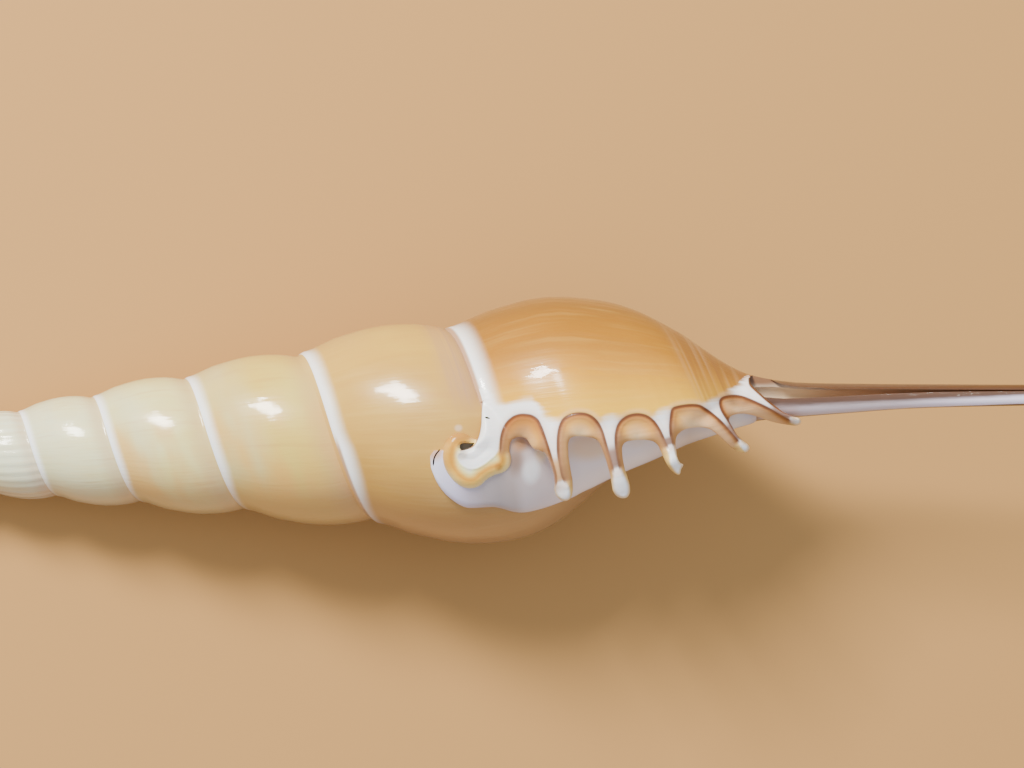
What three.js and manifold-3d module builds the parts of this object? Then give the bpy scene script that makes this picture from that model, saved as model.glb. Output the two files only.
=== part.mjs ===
// Tibia shell: a long glossy sea shell, right handed, lying on its side.
// Millimetres, +Z up. The apex points to -X, the siphonal canal to +X, and the edge of the outer
// lip, with its fingers, faces up.
//
// The shell is drawn around its own axis first: "along" is the distance from the point where the
// spiral would shrink to nothing, "angle" runs round the axis in degrees (0 at +Y, 90 at +Z), and
// "turn" counts whorls back from the edge of the outer lip, which is turn 0.
import * as THREE from 'three';
import { mergeVertices } from 'three/addons/utils/BufferGeometryUtils.js';
import Module from 'manifold-3d';

const wasm = await Module();
wasm.setup();

// Spiral
const growth = 1.2442;          // each whorl is this much larger than the one before
const whorls = 15.5;            // from the protoconch to the outer lip
const lipAngle = 88;            // where the outer lip ends, seen along the axis
const lipSuture = 111.0;        // along, where the last suture meets the outer lip
const apexTip = 3.0;            // along, the rounded tip of the protoconch
const segments = 23;            // flats in one turn

// Rounded whorls: radius over the distance along of the upper suture, from suture to suture
const whorlProfile = [
  [0, 0.133], [0.06, 0.1385], [0.13, 0.1455], [0.25, 0.157], [0.36, 0.1635], [0.46, 0.169],
  [0.6, 0.1732], [0.72, 0.1738], [0.84, 0.1715], [1, 0.164],
];
const whorlRows = [0, 0.09, 0.22, 0.4, 0.62, 0.84, 1];
// How much the last whorls swell or shrink against that profile, by turn
const swell = [
  [-16, 0.99], [-2, 0.99], [-1.5, 1.0], [-1.25, 1.015], [-1, 1.03], [-0.75, 1.03], [-0.5, 1.0],
  [-0.25, 0.98], [0, 1.0],
];
const lipDroop = 0.22;          // how much lower the base of the whorl is at the lip

// Base of the last whorl, which narrows to the canal: share of the way, share of the radius left
const bodyEnd = 151.7;          // along, where the canal begins
const baseEarly = [
  [0, 1], [0.1, 0.86], [0.2, 0.62], [0.35, 0.4], [0.5, 0.265], [0.65, 0.14], [0.8, 0.07],
  [0.9, 0.033], [1, 0],
];
const baseLate = [
  [0, 1], [0.1, 0.9], [0.2, 0.8], [0.35, 0.63], [0.5, 0.43], [0.65, 0.235], [0.8, 0.085],
  [0.9, 0.03], [1, 0],
];
const baseRows = [0.12, 0.26, 0.42, 0.58, 0.74, 0.88, 1];

// Siphonal canal: along, outer radius
const canal = [
  [151.7, 2.78], [155.2, 2.45], [163, 2.07], [171, 1.74], [180, 1.58], [187, 1.5], [205, 1.34],
  [226, 1.08], [238, 0.8],
];
const canalTip = 243.0;
const grooveAngle = 62;         // the side that the canal's groove opens on

// Sideways bow of the shell from its straight axis, towards +Y
const bow = [
  [0, 0], [41, 0], [62.7, 0.14], [95.4, 0.21], [112.5, 0.07], [126.7, 0.28], [133.8, 0.57],
  [141, 1.07], [148.4, 1.5], [155.2, 1.07], [170.5, 0.64], [187.1, -0.14], [205.1, -1.0],
  [226.4, -2.1], [243, -2.9],
];

// Wall of the last whorl, and the hollow behind the lip
const wall = 1.2;
const lipWall = 2.1;
const hollowTurns = 0.55;

// Fingers of the outer lip: along, offset towards -Y, height towards +Z, radius
const fingers = [
  [[119.4, -1.2, 15.1, 2.4], [119.7, 0.9, 16.6, 1.8], [120.0, 3.2, 17.1, 1.3],
    [120.5, 5.8, 16.8, 1.15], [121.2, 8.2, 15.6, 1.15], [121.6, 10.2, 13.9, 0.9]],
  [[127.5, -1.2, 15.0, 2.4], [127.7, 1.0, 16.3, 1.7], [128.0, 3.3, 16.9, 1.2],
    [128.5, 5.8, 16.4, 1.05], [129.2, 8.4, 14.9, 1.05], [129.9, 10.9, 12.5, 0.8]],
  [[135.0, -0.8, 12.2, 2.3], [135.3, 1.2, 13.7, 1.6], [135.7, 3.2, 14.1, 1.15],
    [136.2, 5.2, 13.5, 1.0], [136.9, 7.1, 12.3, 1.0], [137.4, 8.5, 10.8, 0.75]],
  [[141.4, -0.8, 7.8, 2.0], [142.5, 0.9, 8.8, 1.45], [143.5, 2.2, 9.0, 1.1],
    [144.6, 3.6, 8.4, 0.95], [145.9, 5.2, 7.0, 0.95], [147.1, 6.7, 5.0, 0.7]],
  [[145.8, -2.0, 3.4, 1.9], [147.9, -0.8, 4.2, 1.4], [149.6, 0.3, 4.5, 1.1],
    [152.3, 1.8, 3.9, 0.9], [154.7, 3.0, 3.0, 0.75]],
];

// Curled rim of the posterior canal, on the whorl: along, angle, height over it, radius
const curl = [
  [112.9, 91.5, 0.6, 1.1], [113.4, 101, 0.7, 1.0], [112.1, 109.5, 0.7, 1.0],
  [110, 115.5, 0.7, 1.05], [107.8, 119, 0.6, 1.1], [105.7, 114, 0.5, 1.05],
  [105, 105.5, 0.5, 1.0], [105.7, 97.5, 0.5, 0.9], [107.2, 94, 0.5, 0.75], [108.5, 97, 0.4, 0.55],
];

// Glazed callus beside the aperture: along, angle of its inner edge, angle of its outer edge
const callusEdge = [
  [102.9, 104, 110], [103.6, 101, 118], [105.2, 99, 127], [107.8, 96, 134], [111, 88, 135.5],
  [115, 74, 145], [118, 70, 148], [121, 70, 151], [126, 70, 168], [133, 70, 180], [141, 70, 190],
  [149, 70, 198],
];
const callusHeight = 0.65;
// Back corner of the lip, which folds down over the callus: along and angle of both its sides,
// and its height over the whorl
const fold = [
  [109.6, 82, 113.2, 82, 0.5], [109.7, 90, 113.5, 91, 1.6], [109.0, 98, 113.9, 103, 1.7],
  [108.2, 102.5, 112.6, 110.5, 1.5], [107.0, 107, 110.4, 115.5, 1.3], [106.4, 110, 107.8, 118.5, 1.1],
];

// Rest: the shell lies on its last whorl and its apex, on the flat under its middle
const rollDeg = 1.68;
const pitchDeg = 8.51;

const rad = Math.PI / 180;

function table(list, x) {
  if (x <= list[0][0]) {
    return list[0][1];
  }
  for (let i = 1; i < list.length; i++) {
    if (x <= list[i][0]) {
      const [x0, y0] = list[i - 1];
      const [x1, y1] = list[i];
      return y0 + ((y1 - y0) * (x - x0)) / (x1 - x0);
    }
  }
  return list[list.length - 1][1];
}

function ease(x) {
  const t = Math.min(1, Math.max(0, x));
  return t * t * (3 - 2 * t);
}

function sutureAlong(turn) {
  return lipSuture * Math.pow(growth, turn);
}

// Radius of the surface laid down at a turn, at a distance along
function radiusAt(turn, along) {
  const start = sutureAlong(turn);
  const share = (along / start - 1) / (growth - 1);
  const droop = ease((turn + 0.5) / 0.5) ** 2;
  const whorl = (v) => start * table(whorlProfile, v) * table(swell, turn)
    * (1 - lipDroop * droop * ease((v - 0.4) / 0.6));
  if (share <= 1) {
    return whorl(Math.max(0, share));
  }
  const w = (along - start * growth) / (bodyEnd - start * growth);
  const late = ease((turn + 0.6) / 0.4);
  const left = table(baseEarly, w) * (1 - late) + table(baseLate, w) * late;
  return canal[0][1] + (whorl(1) - canal[0][1]) * left;
}

// How far, in degrees, the front end of the lip draws back towards the top of the canal
function drawBack(along) {
  return 50 * ease((along - 145.6) / 3.4);
}

function place(along, angle, radius) {
  return [
    along,
    radius * Math.cos(angle * rad) + table(bow, along),
    radius * Math.sin(angle * rad),
  ];
}

// A closed body from its points and faces
function body(points, faces) {
  let geometry = new THREE.BufferGeometry();
  geometry.setAttribute('position', new THREE.Float32BufferAttribute(points.flat(), 3));
  geometry.setIndex(faces.flat());
  geometry = mergeVertices(geometry, 1e-4);
  const index = geometry.getIndex().array;
  const kept = [];
  for (let i = 0; i < index.length; i += 3) {
    const [a, b, c] = [index[i], index[i + 1], index[i + 2]];
    if (a !== b && b !== c && c !== a) {
      kept.push(a, b, c);
    }
  }
  return new wasm.Manifold(new wasm.Mesh({
    numProp: 3,
    vertProperties: new Float32Array(geometry.getAttribute('position').array),
    triVerts: new Uint32Array(kept),
  }));
}

function quad(faces, a, b, c, d) {
  faces.push([a, b, c], [a, c, d]);
}

// Outside of the shell, from the protoconch to the end of the canal, filled to the axis
function outside() {
  const points = [];
  const faces = [];
  const add = (p) => points.push(p) - 1;
  const last = Math.round(whorls * segments);
  const turnOf = (j) => (j - last) / segments;
  const angleOf = (j) => lipAngle + 360 * turnOf(j);
  const rows = whorlRows.length - 1;
  const column = [];

  // Suture line first, so that each whorl can share the line with the next
  for (let j = 0; j <= last; j++) {
    const turn = turnOf(j);
    column[j] = [add(place(sutureAlong(turn), angleOf(j), radiusAt(turn, sutureAlong(turn))))];
  }
  for (let j = 0; j <= last; j++) {
    const turn = turnOf(j);
    const start = sutureAlong(turn);
    for (let i = 1; i <= rows; i++) {
      if (i === rows && j + segments <= last) {
        column[j].push(column[j + segments][0]);
      } else {
        const along = start * (1 + (growth - 1) * whorlRows[i]);
        column[j].push(add(place(along, angleOf(j), radiusAt(turn, along))));
      }
    }
  }
  const first = last - segments;
  for (let j = first; j <= last; j++) {
    const turn = turnOf(j);
    const start = sutureAlong(turn) * growth;
    baseRows.forEach((w, k) => {
      const along = start + (bodyEnd - start) * w;
      const back = drawBack(along) * ease(Math.abs(turn + 0.5) * 2.4 - 0.2);
      const angle = angleOf(j) - back;
      const here = turn - back / 360;
      const radius = k === baseRows.length - 1 ? canal[0][1] : radiusAt(here, along);
      column[j].push(add(place(along, angle, radius)));
    });
  }
  for (let j = 0; j < last; j++) {
    const deep = j >= first ? rows + baseRows.length : rows;
    for (let i = 0; i < deep; i++) {
      quad(faces, column[j][i], column[j + 1][i], column[j + 1][i + 1], column[j][i + 1]);
    }
  }

  // Flat face at the lip, between the last whorl and the surface under it
  const outer = column[last];
  const inner = column[first].slice(rows);
  let o = 0;
  let i = 0;
  while (o < outer.length - 1 || i < inner.length - 1) {
    const outerNext = o < outer.length - 1 ? points[outer[o + 1]][0] : Infinity;
    const innerNext = i < inner.length - 1 ? points[inner[i + 1]][0] : Infinity;
    if (outerNext <= innerNext) {
      faces.push([inner[i], outer[o + 1], outer[o]]);
      o += 1;
    } else {
      faces.push([inner[i], inner[i + 1], outer[o]]);
      i += 1;
    }
  }

  // Siphonal canal
  let ring = [];
  for (let j = first; j < last; j++) {
    ring.push(column[j][column[j].length - 1]);
  }
  canal.slice(1).forEach(([along, radius]) => {
    const next = [];
    for (let k = 0; k < segments; k++) {
      const [, y, z] = points[ring[k]];
      const angle = Math.atan2(z, y - table(bow, points[ring[k]][0])) / rad;
      next.push(add(place(along, angle, radius)));
    }
    for (let k = 0; k < segments; k++) {
      const n = (k + 1) % segments;
      quad(faces, ring[k], ring[n], next[n], next[k]);
    }
    ring = next;
  });
  const tip = add(place(canalTip, 0, 0));
  for (let k = 0; k < segments; k++) {
    faces.push([ring[k], ring[(k + 1) % segments], tip]);
  }

  // Protoconch: a low dome over the first turn
  const rim = [];
  for (let j = 0; j < segments; j++) {
    rim.push(column[j][0]);
  }
  for (let k = rows; k > 0; k--) {
    rim.push(column[0][k]);
  }
  const top = add([apexTip, 0, 0]);
  for (let k = 0; k < rim.length; k++) {
    faces.push([top, rim[(k + 1) % rim.length], rim[k]]);
  }
  return body(points, faces);
}

// A rounded bar along points with a radius at each
function bar(path, sides) {
  const points = [];
  const faces = [];
  const centres = path.map((p) => new THREE.Vector3(p[0], p[1], p[2]));
  let normal = new THREE.Vector3(1, 0.2, 0.1);
  path.forEach((p, k) => {
    const ahead = centres[Math.min(k + 1, path.length - 1)];
    const behind = centres[Math.max(k - 1, 0)];
    const along = ahead.clone().sub(behind).normalize();
    normal = normal.clone().addScaledVector(along, -normal.dot(along)).normalize();
    const across = along.clone().cross(normal);
    for (let s = 0; s < sides; s++) {
      const angle = (2 * Math.PI * s) / sides;
      const point = centres[k].clone()
        .addScaledVector(normal, p[3] * Math.cos(angle))
        .addScaledVector(across, p[3] * Math.sin(angle));
      points.push(point.toArray());
    }
  });
  const start = points.push(centres[0].toArray()) - 1;
  const lastStep = centres[path.length - 1].clone().sub(centres[path.length - 2]).normalize();
  const end = points.push(centres[path.length - 1].clone()
    .addScaledVector(lastStep, path[path.length - 1][3] * 0.6).toArray()) - 1;
  for (let k = 0; k < path.length - 1; k++) {
    for (let s = 0; s < sides; s++) {
      const n = (s + 1) % sides;
      quad(faces, k * sides + s, k * sides + n, (k + 1) * sides + n, (k + 1) * sides + s);
    }
  }
  const lastRing = (path.length - 1) * sides;
  for (let s = 0; s < sides; s++) {
    const n = (s + 1) % sides;
    faces.push([start, n, s]);
    faces.push([end, lastRing + s, lastRing + n]);
  }
  return body(points, faces);
}

// Closed body between a lower and an upper sheet on the same grid
function slab(lower, upper) {
  const points = [];
  const faces = [];
  const nj = lower.length;
  const ni = lower[0].length;
  for (const sheet of [lower, upper]) {
    for (let j = 0; j < nj; j++) {
      for (let i = 0; i < ni; i++) {
        points.push(sheet[j][i]);
      }
    }
  }
  const low = (j, i) => j * ni + i;
  const high = (j, i) => nj * ni + j * ni + i;
  for (let j = 0; j < nj - 1; j++) {
    for (let i = 0; i < ni - 1; i++) {
      quad(faces, high(j, i), high(j + 1, i), high(j + 1, i + 1), high(j, i + 1));
      quad(faces, low(j, i), low(j, i + 1), low(j + 1, i + 1), low(j + 1, i));
    }
    quad(faces, low(j, 0), low(j + 1, 0), high(j + 1, 0), high(j, 0));
    quad(faces, low(j + 1, ni - 1), low(j, ni - 1), high(j, ni - 1), high(j + 1, ni - 1));
  }
  for (let i = 0; i < ni - 1; i++) {
    quad(faces, low(0, i + 1), low(0, i), high(0, i), high(0, i + 1));
    quad(faces, low(nj - 1, i), low(nj - 1, i + 1), high(nj - 1, i + 1), high(nj - 1, i));
  }
  return body(points, faces);
}

// Hollow of the last whorl, open at the lip
function hollow() {
  const steps = 9;
  const across = [0, 0.12, 0.26, 0.4, 0.54, 0.66, 0.77, 0.86, 0.92, 0.96, 1];
  const lower = [];
  const upper = [];
  for (let k = 0; k <= steps + 1; k++) {
    const turn = k > steps ? 0.03 : -hollowTurns + (hollowTurns * k) / steps;
    const held = Math.min(0, turn);
    const narrow = 0.55 + 0.45 * ease((held + hollowTurns) / 0.2);
    const start = sutureAlong(held) * 1.035;
    const end = bodyEnd - 2.5;
    const low = [];
    const high = [];
    across.forEach((share) => {
      const along = start + (end - start) * share;
      const thick = (wall + (lipWall - wall) * ease((held + 0.07) / 0.07))
        * (1 - 0.5 * ease((along - 134) / 10));
      const angle = lipAngle + 360 * turn - drawBack(along) * ease((turn + 0.5) * 2.4 - 0.2);
      const here = (angle - lipAngle) / 360;
      const outer = radiusAt(Math.min(0, here), along) - thick;
      const inner = radiusAt(Math.min(0, here) - 1, along) + 0.1;
      const middle = (outer + inner) / 2;
      const gap = Math.max(0.25, ((outer - inner) / 2) * narrow);
      low.push(place(along, angle, middle - gap));
      high.push(place(along, angle, middle + gap));
    });
    lower.push(low);
    upper.push(high);
  }
  return slab(lower, upper);
}

// Groove of the siphonal canal, open on one side from the aperture to the tip
function groove() {
  const points = [];
  const faces = [];
  const stations = [[146, 2.3], ...canal, [canalTip + 1, 0.7]];
  const shape = [[1.7, -0.5], [1.7, 0.5], [0.35, 0.4], [-0.15, 0], [0.35, -0.4]];
  const away = [Math.cos(grooveAngle * rad), Math.sin(grooveAngle * rad)];
  stations.forEach(([along, radius]) => {
    shape.forEach(([out, side]) => {
      const y = radius * (out * away[0] - side * away[1]) + table(bow, along);
      const z = radius * (out * away[1] + side * away[0]);
      points.push([along, y, z]);
    });
  });
  const sides = shape.length;
  for (let k = 0; k < stations.length - 1; k++) {
    for (let s = 0; s < sides; s++) {
      const n = (s + 1) % sides;
      quad(faces, k * sides + s, k * sides + n, (k + 1) * sides + n, (k + 1) * sides + s);
    }
  }
  const lastRing = (stations.length - 1) * sides;
  for (let s = 1; s < sides - 1; s++) {
    faces.push([0, s + 1, s]);
    faces.push([lastRing, lastRing + s, lastRing + s + 1]);
  }
  return body(points, faces);
}

// Callus: a thin pad over the surface beside the aperture
function callus() {
  const lower = [];
  const upper = [];
  const steps = 8;
  for (let k = 0; k <= steps; k++) {
    const low = [];
    const high = [];
    callusEdge.forEach(([along, from, edge], i) => {
      const share = k / steps;
      const angle = from + (edge - from) * share;
      const turn = (angle - lipAngle) / 360 - 1;
      const radius = radiusAt(turn, along);
      const rim = k === steps || i === 0 || i === callusEdge.length - 1 || k === 0;
      low.push(place(along, angle, radius - 0.9));
      high.push(place(along, angle, radius + (rim ? -0.15 : callusHeight)));
    });
    lower.push(low);
    upper.push(high);
  }
  return slab(lower, upper);
}

// Back corner of the lip, as a folded sheet from the lip down to the curled rim
function foldedCorner() {
  const across = [0, 0.12, 0.5, 0.88, 1];
  const lower = [];
  const upper = [];
  fold.forEach(([along0, angle0, along1, angle1, height]) => {
    const low = [];
    const high = [];
    across.forEach((share, i) => {
      const along = along0 + (along1 - along0) * share;
      const angle = angle0 + (angle1 - angle0) * share;
      const radius = radiusAt((angle - lipAngle) / 360 - 1, along);
      const rim = i === 0 || i === across.length - 1;
      low.push(place(along, angle, radius - 0.6));
      high.push(place(along, angle, radius + (rim ? 0.1 : height)));
    });
    lower.push(low);
    upper.push(high);
  });
  return slab(lower, upper);
}

let shell = outside().subtract(hollow()).subtract(groove());
shell = shell.add(callus()).add(foldedCorner());
fingers.forEach((finger) => {
  const path = finger.map(([along, down, up, radius]) => [
    along, table(bow, along) - down, up, radius,
  ]);
  shell = shell.add(bar(path, 7));
});
shell = shell.add(bar(curl.map(([along, angle, height, radius]) => {
  const turn = (angle - lipAngle) / 360 - 1;
  const [x, y, z] = place(along, angle, radiusAt(turn, along) + height);
  return [x, y, z, radius];
}), 7));

const solid = shell.getMesh();
const geometry = new THREE.BufferGeometry();
geometry.setAttribute('position', new THREE.BufferAttribute(solid.vertProperties, 3));
geometry.setIndex(new THREE.BufferAttribute(solid.triVerts, 1));
geometry.rotateX(rollDeg * rad);
geometry.rotateY(-pitchDeg * rad);
geometry.computeBoundingBox();
const box = geometry.boundingBox;
geometry.translate(
  -(box.min.x + box.max.x) / 2,
  -(box.min.y + box.max.y) / 2,
  -box.min.z,
);
geometry.computeVertexNormals();

const mesh = new THREE.Mesh(geometry, new THREE.MeshStandardMaterial({
  name: 'shell_glaze',
  color: new THREE.Color(0.86, 0.69, 0.45),
  roughness: 0.16,
  metalness: 0,
}));
mesh.name = 'tibia_shell';

const group = new THREE.Group();
group.name = 'tibia_shell_part';
group.add(mesh);

export default group;
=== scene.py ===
# Tibia shell on a pale floor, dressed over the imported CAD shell.
# Shell measures are millimetres round the shell's own axis: "along" runs from the point where
# the spiral would vanish, angle 0 is +Y and 90 is +Z. Everything is laid in metres at the end.
import math
from collections import Counter

import bpy
import numpy as np
from mathutils import Matrix, Vector
from mathutils.geometry import delaunay_2d_cdt


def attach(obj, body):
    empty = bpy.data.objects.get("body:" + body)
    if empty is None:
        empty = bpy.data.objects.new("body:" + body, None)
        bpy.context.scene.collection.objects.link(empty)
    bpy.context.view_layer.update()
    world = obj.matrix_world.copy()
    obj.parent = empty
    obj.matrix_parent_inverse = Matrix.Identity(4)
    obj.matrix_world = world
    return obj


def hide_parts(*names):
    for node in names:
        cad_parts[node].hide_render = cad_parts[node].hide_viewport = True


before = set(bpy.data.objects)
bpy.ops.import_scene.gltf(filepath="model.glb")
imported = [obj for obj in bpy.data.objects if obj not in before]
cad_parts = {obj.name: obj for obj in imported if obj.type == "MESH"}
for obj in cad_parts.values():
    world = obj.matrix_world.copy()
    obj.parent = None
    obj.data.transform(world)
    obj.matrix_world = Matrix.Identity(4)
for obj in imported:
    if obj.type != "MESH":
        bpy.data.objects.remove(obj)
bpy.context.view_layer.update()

# how the shell lies on the floor, and the picture it is seen in
rest = {"roll": 1.68, "pitch": 8.51, "shift": (-121.5614, -0.5010, 0.0177)}
picture = {
    "wide": 1024, "high": 768,
    "mmPerPoint": 0.14243,     # at the shell's axis
    "focal": 5250.0,           # in picture points
    "tilt": 1.3,               # the view's turn about Y
    "slope": 3.34,             # the shell's slope in the picture
    "centre": 802.0, "rise": 39.9,
}


# Smooth line through points that doesn't overshoot them
def curveThrough(points, x):
    px = np.array([p[0] for p in points], float)
    py = np.array([p[1] for p in points], float)
    h = np.diff(px)
    d = np.diff(py) / h
    m = np.zeros(len(px))
    m[0], m[-1] = d[0], d[-1]
    same = d[:-1] * d[1:] > 0
    w1 = 2 * h[1:] + h[:-1]
    w2 = h[1:] + 2 * h[:-1]
    safe0 = np.where(same, d[:-1], 1.0)
    safe1 = np.where(same, d[1:], 1.0)
    m[1:-1] = np.where(same, (w1 + w2) / (w1 / safe0 + w2 / safe1), 0.0)
    x = np.clip(np.asarray(x, float), px[0], px[-1])
    k = np.clip(np.searchsorted(px, x) - 1, 0, len(h) - 1)
    t = (x - px[k]) / h[k]
    return (py[k] * (1 + 2 * t) * (1 - t) ** 2 + py[k + 1] * t * t * (3 - 2 * t)
            + m[k] * h[k] * t * (1 - t) ** 2 - m[k + 1] * h[k] * t * t * (1 - t))


def ease(x):
    t = np.clip(x, 0, 1)
    return t * t * (3 - 2 * t)


# Eased step up or down, from a start and over a width
def rises(x, start, width):
    return ease((x - start) / width)


def falls(x, start, width):
    return 1 - rises(x, start, width)


def smoothMax(a, b, k):
    h = np.clip(0.5 + 0.5 * (a - b) / k, 0, 1)
    return b * (1 - h) + a * h + k * h * (1 - h)


# Spiral of the shell, the same measures as the solid
spiral = {
    "growth": 1.2442, "whorls": 15.5, "lipAngle": 88.0, "lipSuture": 111.0, "apexTip": 3.0,
    "columns": 96,             # in one turn
    "end": -0.03125,           # turn where the wall goes into the lip's own piece
    "rows": [0, .009, .022, .04, .065, .1, .16, .24, .34, .45, .57, .69, .79, .87, .93, .97, 1],
    "whorl": [(0, .133), (.02, .1366), (.06, .1389), (.13, .1455), (.25, .157), (.36, .1635),
              (.46, .169), (.6, .1732), (.72, .1738), (.84, .1715), (.95, .1663), (1, .164)],
    "swell": [(-16, .99), (-2, .99), (-1.5, 1.0), (-1.25, 1.015), (-1, 1.03), (-.75, 1.03),
              (-.5, 1.0), (-.25, .98), (0, 1.0), (.5, 1.0)],
    "droop": 0.22, "bodyEnd": 151.7,
    "shoulder": {"before": 9, "after": 5, "fade": 4, "spread": 4.5},   # where it rounds over
    "drawBack": 50, "drawFrom": (145.6, 3.4),      # degrees, of the lip's front corner
    # how far the wall's end sinks under the lip's piece, over how many degrees and up to where
    "sink": 0.15, "sinkOver": 5.75, "sinkTo": (149.5, 2),
    "baseEarly": [(0, 1), (.1, .86), (.2, .62), (.35, .4), (.5, .265), (.65, .14), (.8, .07),
                  (.9, .033), (1, 0)],
    "baseLate": [(0, 1), (.1, .9), (.2, .8), (.35, .63), (.5, .43), (.65, .235), (.8, .085),
                 (.9, .03), (1, 0)],
    "baseRows": [.03, .07, .12, .18, .24, .3, .36, .42, .48, .54, .6, .66, .72, .77, .82, .86,
                 .9, .93, .96, .98, 1],
    "canal": [(151.7, 2.78), (155.2, 2.45), (163, 2.07), (171, 1.74), (180, 1.58), (187, 1.5),
              (205, 1.34), (226, 1.08), (238, .8)],
    "canalRows": (153, 238.1, 1.7),
    "canalTip": 243.0, "tipStart": 238.6, "tipRadius": 0.79, "grooveAngle": 63.0,
    "bow": [(0, 0), (41, 0), (62.7, .14), (95.4, .21), (112.5, .07), (126.7, .28), (133.8, .57),
            (141, 1.07), (148.4, 1.5), (155.2, 1.07), (170.5, .64), (187.1, -.14), (205.1, -1.0),
            (226.4, -2.1), (243, -2.9)],
    "wall": 1.2, "thinner": 0.4, "thinFrom": (134, 10),        # share lost towards the canal
    "hollowTurns": 0.55, "hollowFrom": 1.035, "hollowTo": 147.8,
    "hollowRows": [0, .02, .05, .09, .14, .2, .27, .34, .41, .48, .54, .6, .66, .72, .77, .82,
                   .86, .9, .93, .96, .98, 1],
}


def sutureAlong(turn):
    return spiral["lipSuture"] * spiral["growth"] ** np.asarray(turn, float)


def plainRadius(turn, along):
    g = spiral["growth"]
    start = sutureAlong(turn)
    share = (along / start - 1) / (g - 1)
    droop = rises(turn, -0.5, 0.5) ** 2

    def whorl(v):
        return (start * curveThrough(spiral["whorl"], v) * curveThrough(spiral["swell"], turn)
                * (1 - spiral["droop"] * droop * rises(v, 0.4, 0.6)))
    w = (along - start * g) / (spiral["bodyEnd"] - start * g)
    late = rises(turn, -0.6, 0.4)
    left = (curveThrough(spiral["baseEarly"], w) * (1 - late)
            + curveThrough(spiral["baseLate"], w) * late)
    first = spiral["canal"][0][1]
    base = first + (whorl(np.ones_like(along)) - first) * left
    return np.where(share <= 1, whorl(np.clip(share, 0, 1)), base)


# Radius of the surface laid at a turn. The whorl rounds into the base without a crease.
def radiusAt(turn, along):
    turn, along = np.broadcast_arrays(np.asarray(turn, float), np.asarray(along, float))
    edge = spiral["shoulder"]
    past = along - sutureAlong(turn) * spiral["growth"]
    near = rises(past, -edge["before"], edge["fade"]) * falls(past, edge["after"], edge["fade"])
    near = near * rises(turn, -1, 0.12)
    spread = edge["spread"] * near
    return sum(share * plainRadius(turn, along + step * spread)
               for step, share in ((-1, .1), (-.6, .2), (-.2, .2), (.2, .2), (.6, .2), (1, .1)))


def drawBack(along):
    return spiral["drawBack"] * rises(along, *spiral["drawFrom"])


# How much of that corner a turn has: all of it near the lip, none half a turn behind it
def cornerShare(turn):
    return ease(np.abs(turn + 0.5) * 2.4 - 0.2)


def bowAt(along):
    return curveThrough(spiral["bow"], along)


# Degrees round the shell's axis
def angleOf(p):
    return np.degrees(np.arctan2(p[:, 2], p[:, 1] - bowAt(p[:, 0])))


# Degrees behind the edge of the lip
def behindLip(p):
    return spiral["lipAngle"] - drawBack(p[:, 0]) - angleOf(p)


def place(along, angle, radius):
    a = np.radians(angle)
    along, radius = np.broadcast_arrays(np.asarray(along, float), np.asarray(radius, float))
    return np.stack([along + 0 * a, radius * np.cos(a) + bowAt(along), radius * np.sin(a)], -1)


# Shell's own axes in millimetres to the row's frame in metres
def toRow(p):
    r, t = math.radians(rest["roll"]), math.radians(rest["pitch"])
    x, y, z = p[..., 0], p[..., 1], p[..., 2]
    y, z = y * math.cos(r) - z * math.sin(r), y * math.sin(r) + z * math.cos(r)
    x, z = x * math.cos(t) - z * math.sin(t), x * math.sin(t) + z * math.cos(t)
    return (np.stack([x, y, z], -1) + np.array(rest["shift"])) * 0.001


# Direction on the shell's own axes to the row's frame
def turned(v):
    return (toRow(v) - toRow(np.zeros(3))) * 1000


# Back from the row's frame in metres to the shell's own axes in millimetres
def fromRow(p):
    r, t = math.radians(rest["roll"]), math.radians(rest["pitch"])
    p = p * 1000 - np.array(rest["shift"])
    x, y, z = p[:, 0], p[:, 1], p[:, 2]
    x, z = x * math.cos(t) + z * math.sin(t), -x * math.sin(t) + z * math.cos(t)
    y, z = y * math.cos(r) + z * math.sin(r), -y * math.sin(r) + z * math.cos(r)
    return np.stack([x, y, z], -1)


# Camera, from the picture's own fit to the shell
tilt, slope = math.radians(picture["tilt"]), math.radians(picture["slope"])
viewN = np.array([math.sin(tilt), 0, math.cos(tilt)])
viewX = np.array([math.cos(tilt), 0, -math.sin(tilt)])
viewY = np.array([0.0, 1.0, 0.0])
viewR = math.cos(slope) * viewX - math.sin(slope) * viewY
viewU = math.sin(slope) * viewX + math.cos(slope) * viewY
viewD = picture["focal"] * picture["mmPerPoint"]
viewP = (np.array([picture["centre"] * picture["mmPerPoint"], 0, 0])
         + picture["rise"] * picture["mmPerPoint"] * viewU)
viewC = viewP + viewD * viewN


def toPicture(p):
    d = p - viewC
    depth = -(d @ viewN)
    return np.stack([picture["wide"] / 2 + (d @ viewR) * picture["focal"] / depth,
                     picture["high"] / 2 - (d @ viewU) * picture["focal"] / depth], -1)


# Point at height z over the shell's axis that shows at picture point q.
def onRay(q, z):
    ray = (-viewN + (q[..., :1] - picture["wide"] / 2) / picture["focal"] * viewR
           - (q[..., 1:2] - picture["high"] / 2) / picture["focal"] * viewU)
    t = (np.asarray(z)[..., None] - viewC[2]) / ray[..., 2:3]
    return viewC + ray * t


def only(piece):
    bpy.ops.object.select_all(action="DESELECT")
    piece.select_set(True)
    bpy.context.view_layer.objects.active = piece


# A grid from Blender's own primitive, its points laid on the given rows of places.
def layGrid(name, points):
    nj, ni = points.shape[:2]
    bpy.ops.object.select_all(action="DESELECT")
    bpy.ops.mesh.primitive_grid_add(x_subdivisions=ni - 1, y_subdivisions=nj - 1, size=1)
    sheet = bpy.context.object
    sheet.name = name
    sheet.data.vertices.foreach_set("co", points.reshape(-1))
    return sheet


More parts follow.
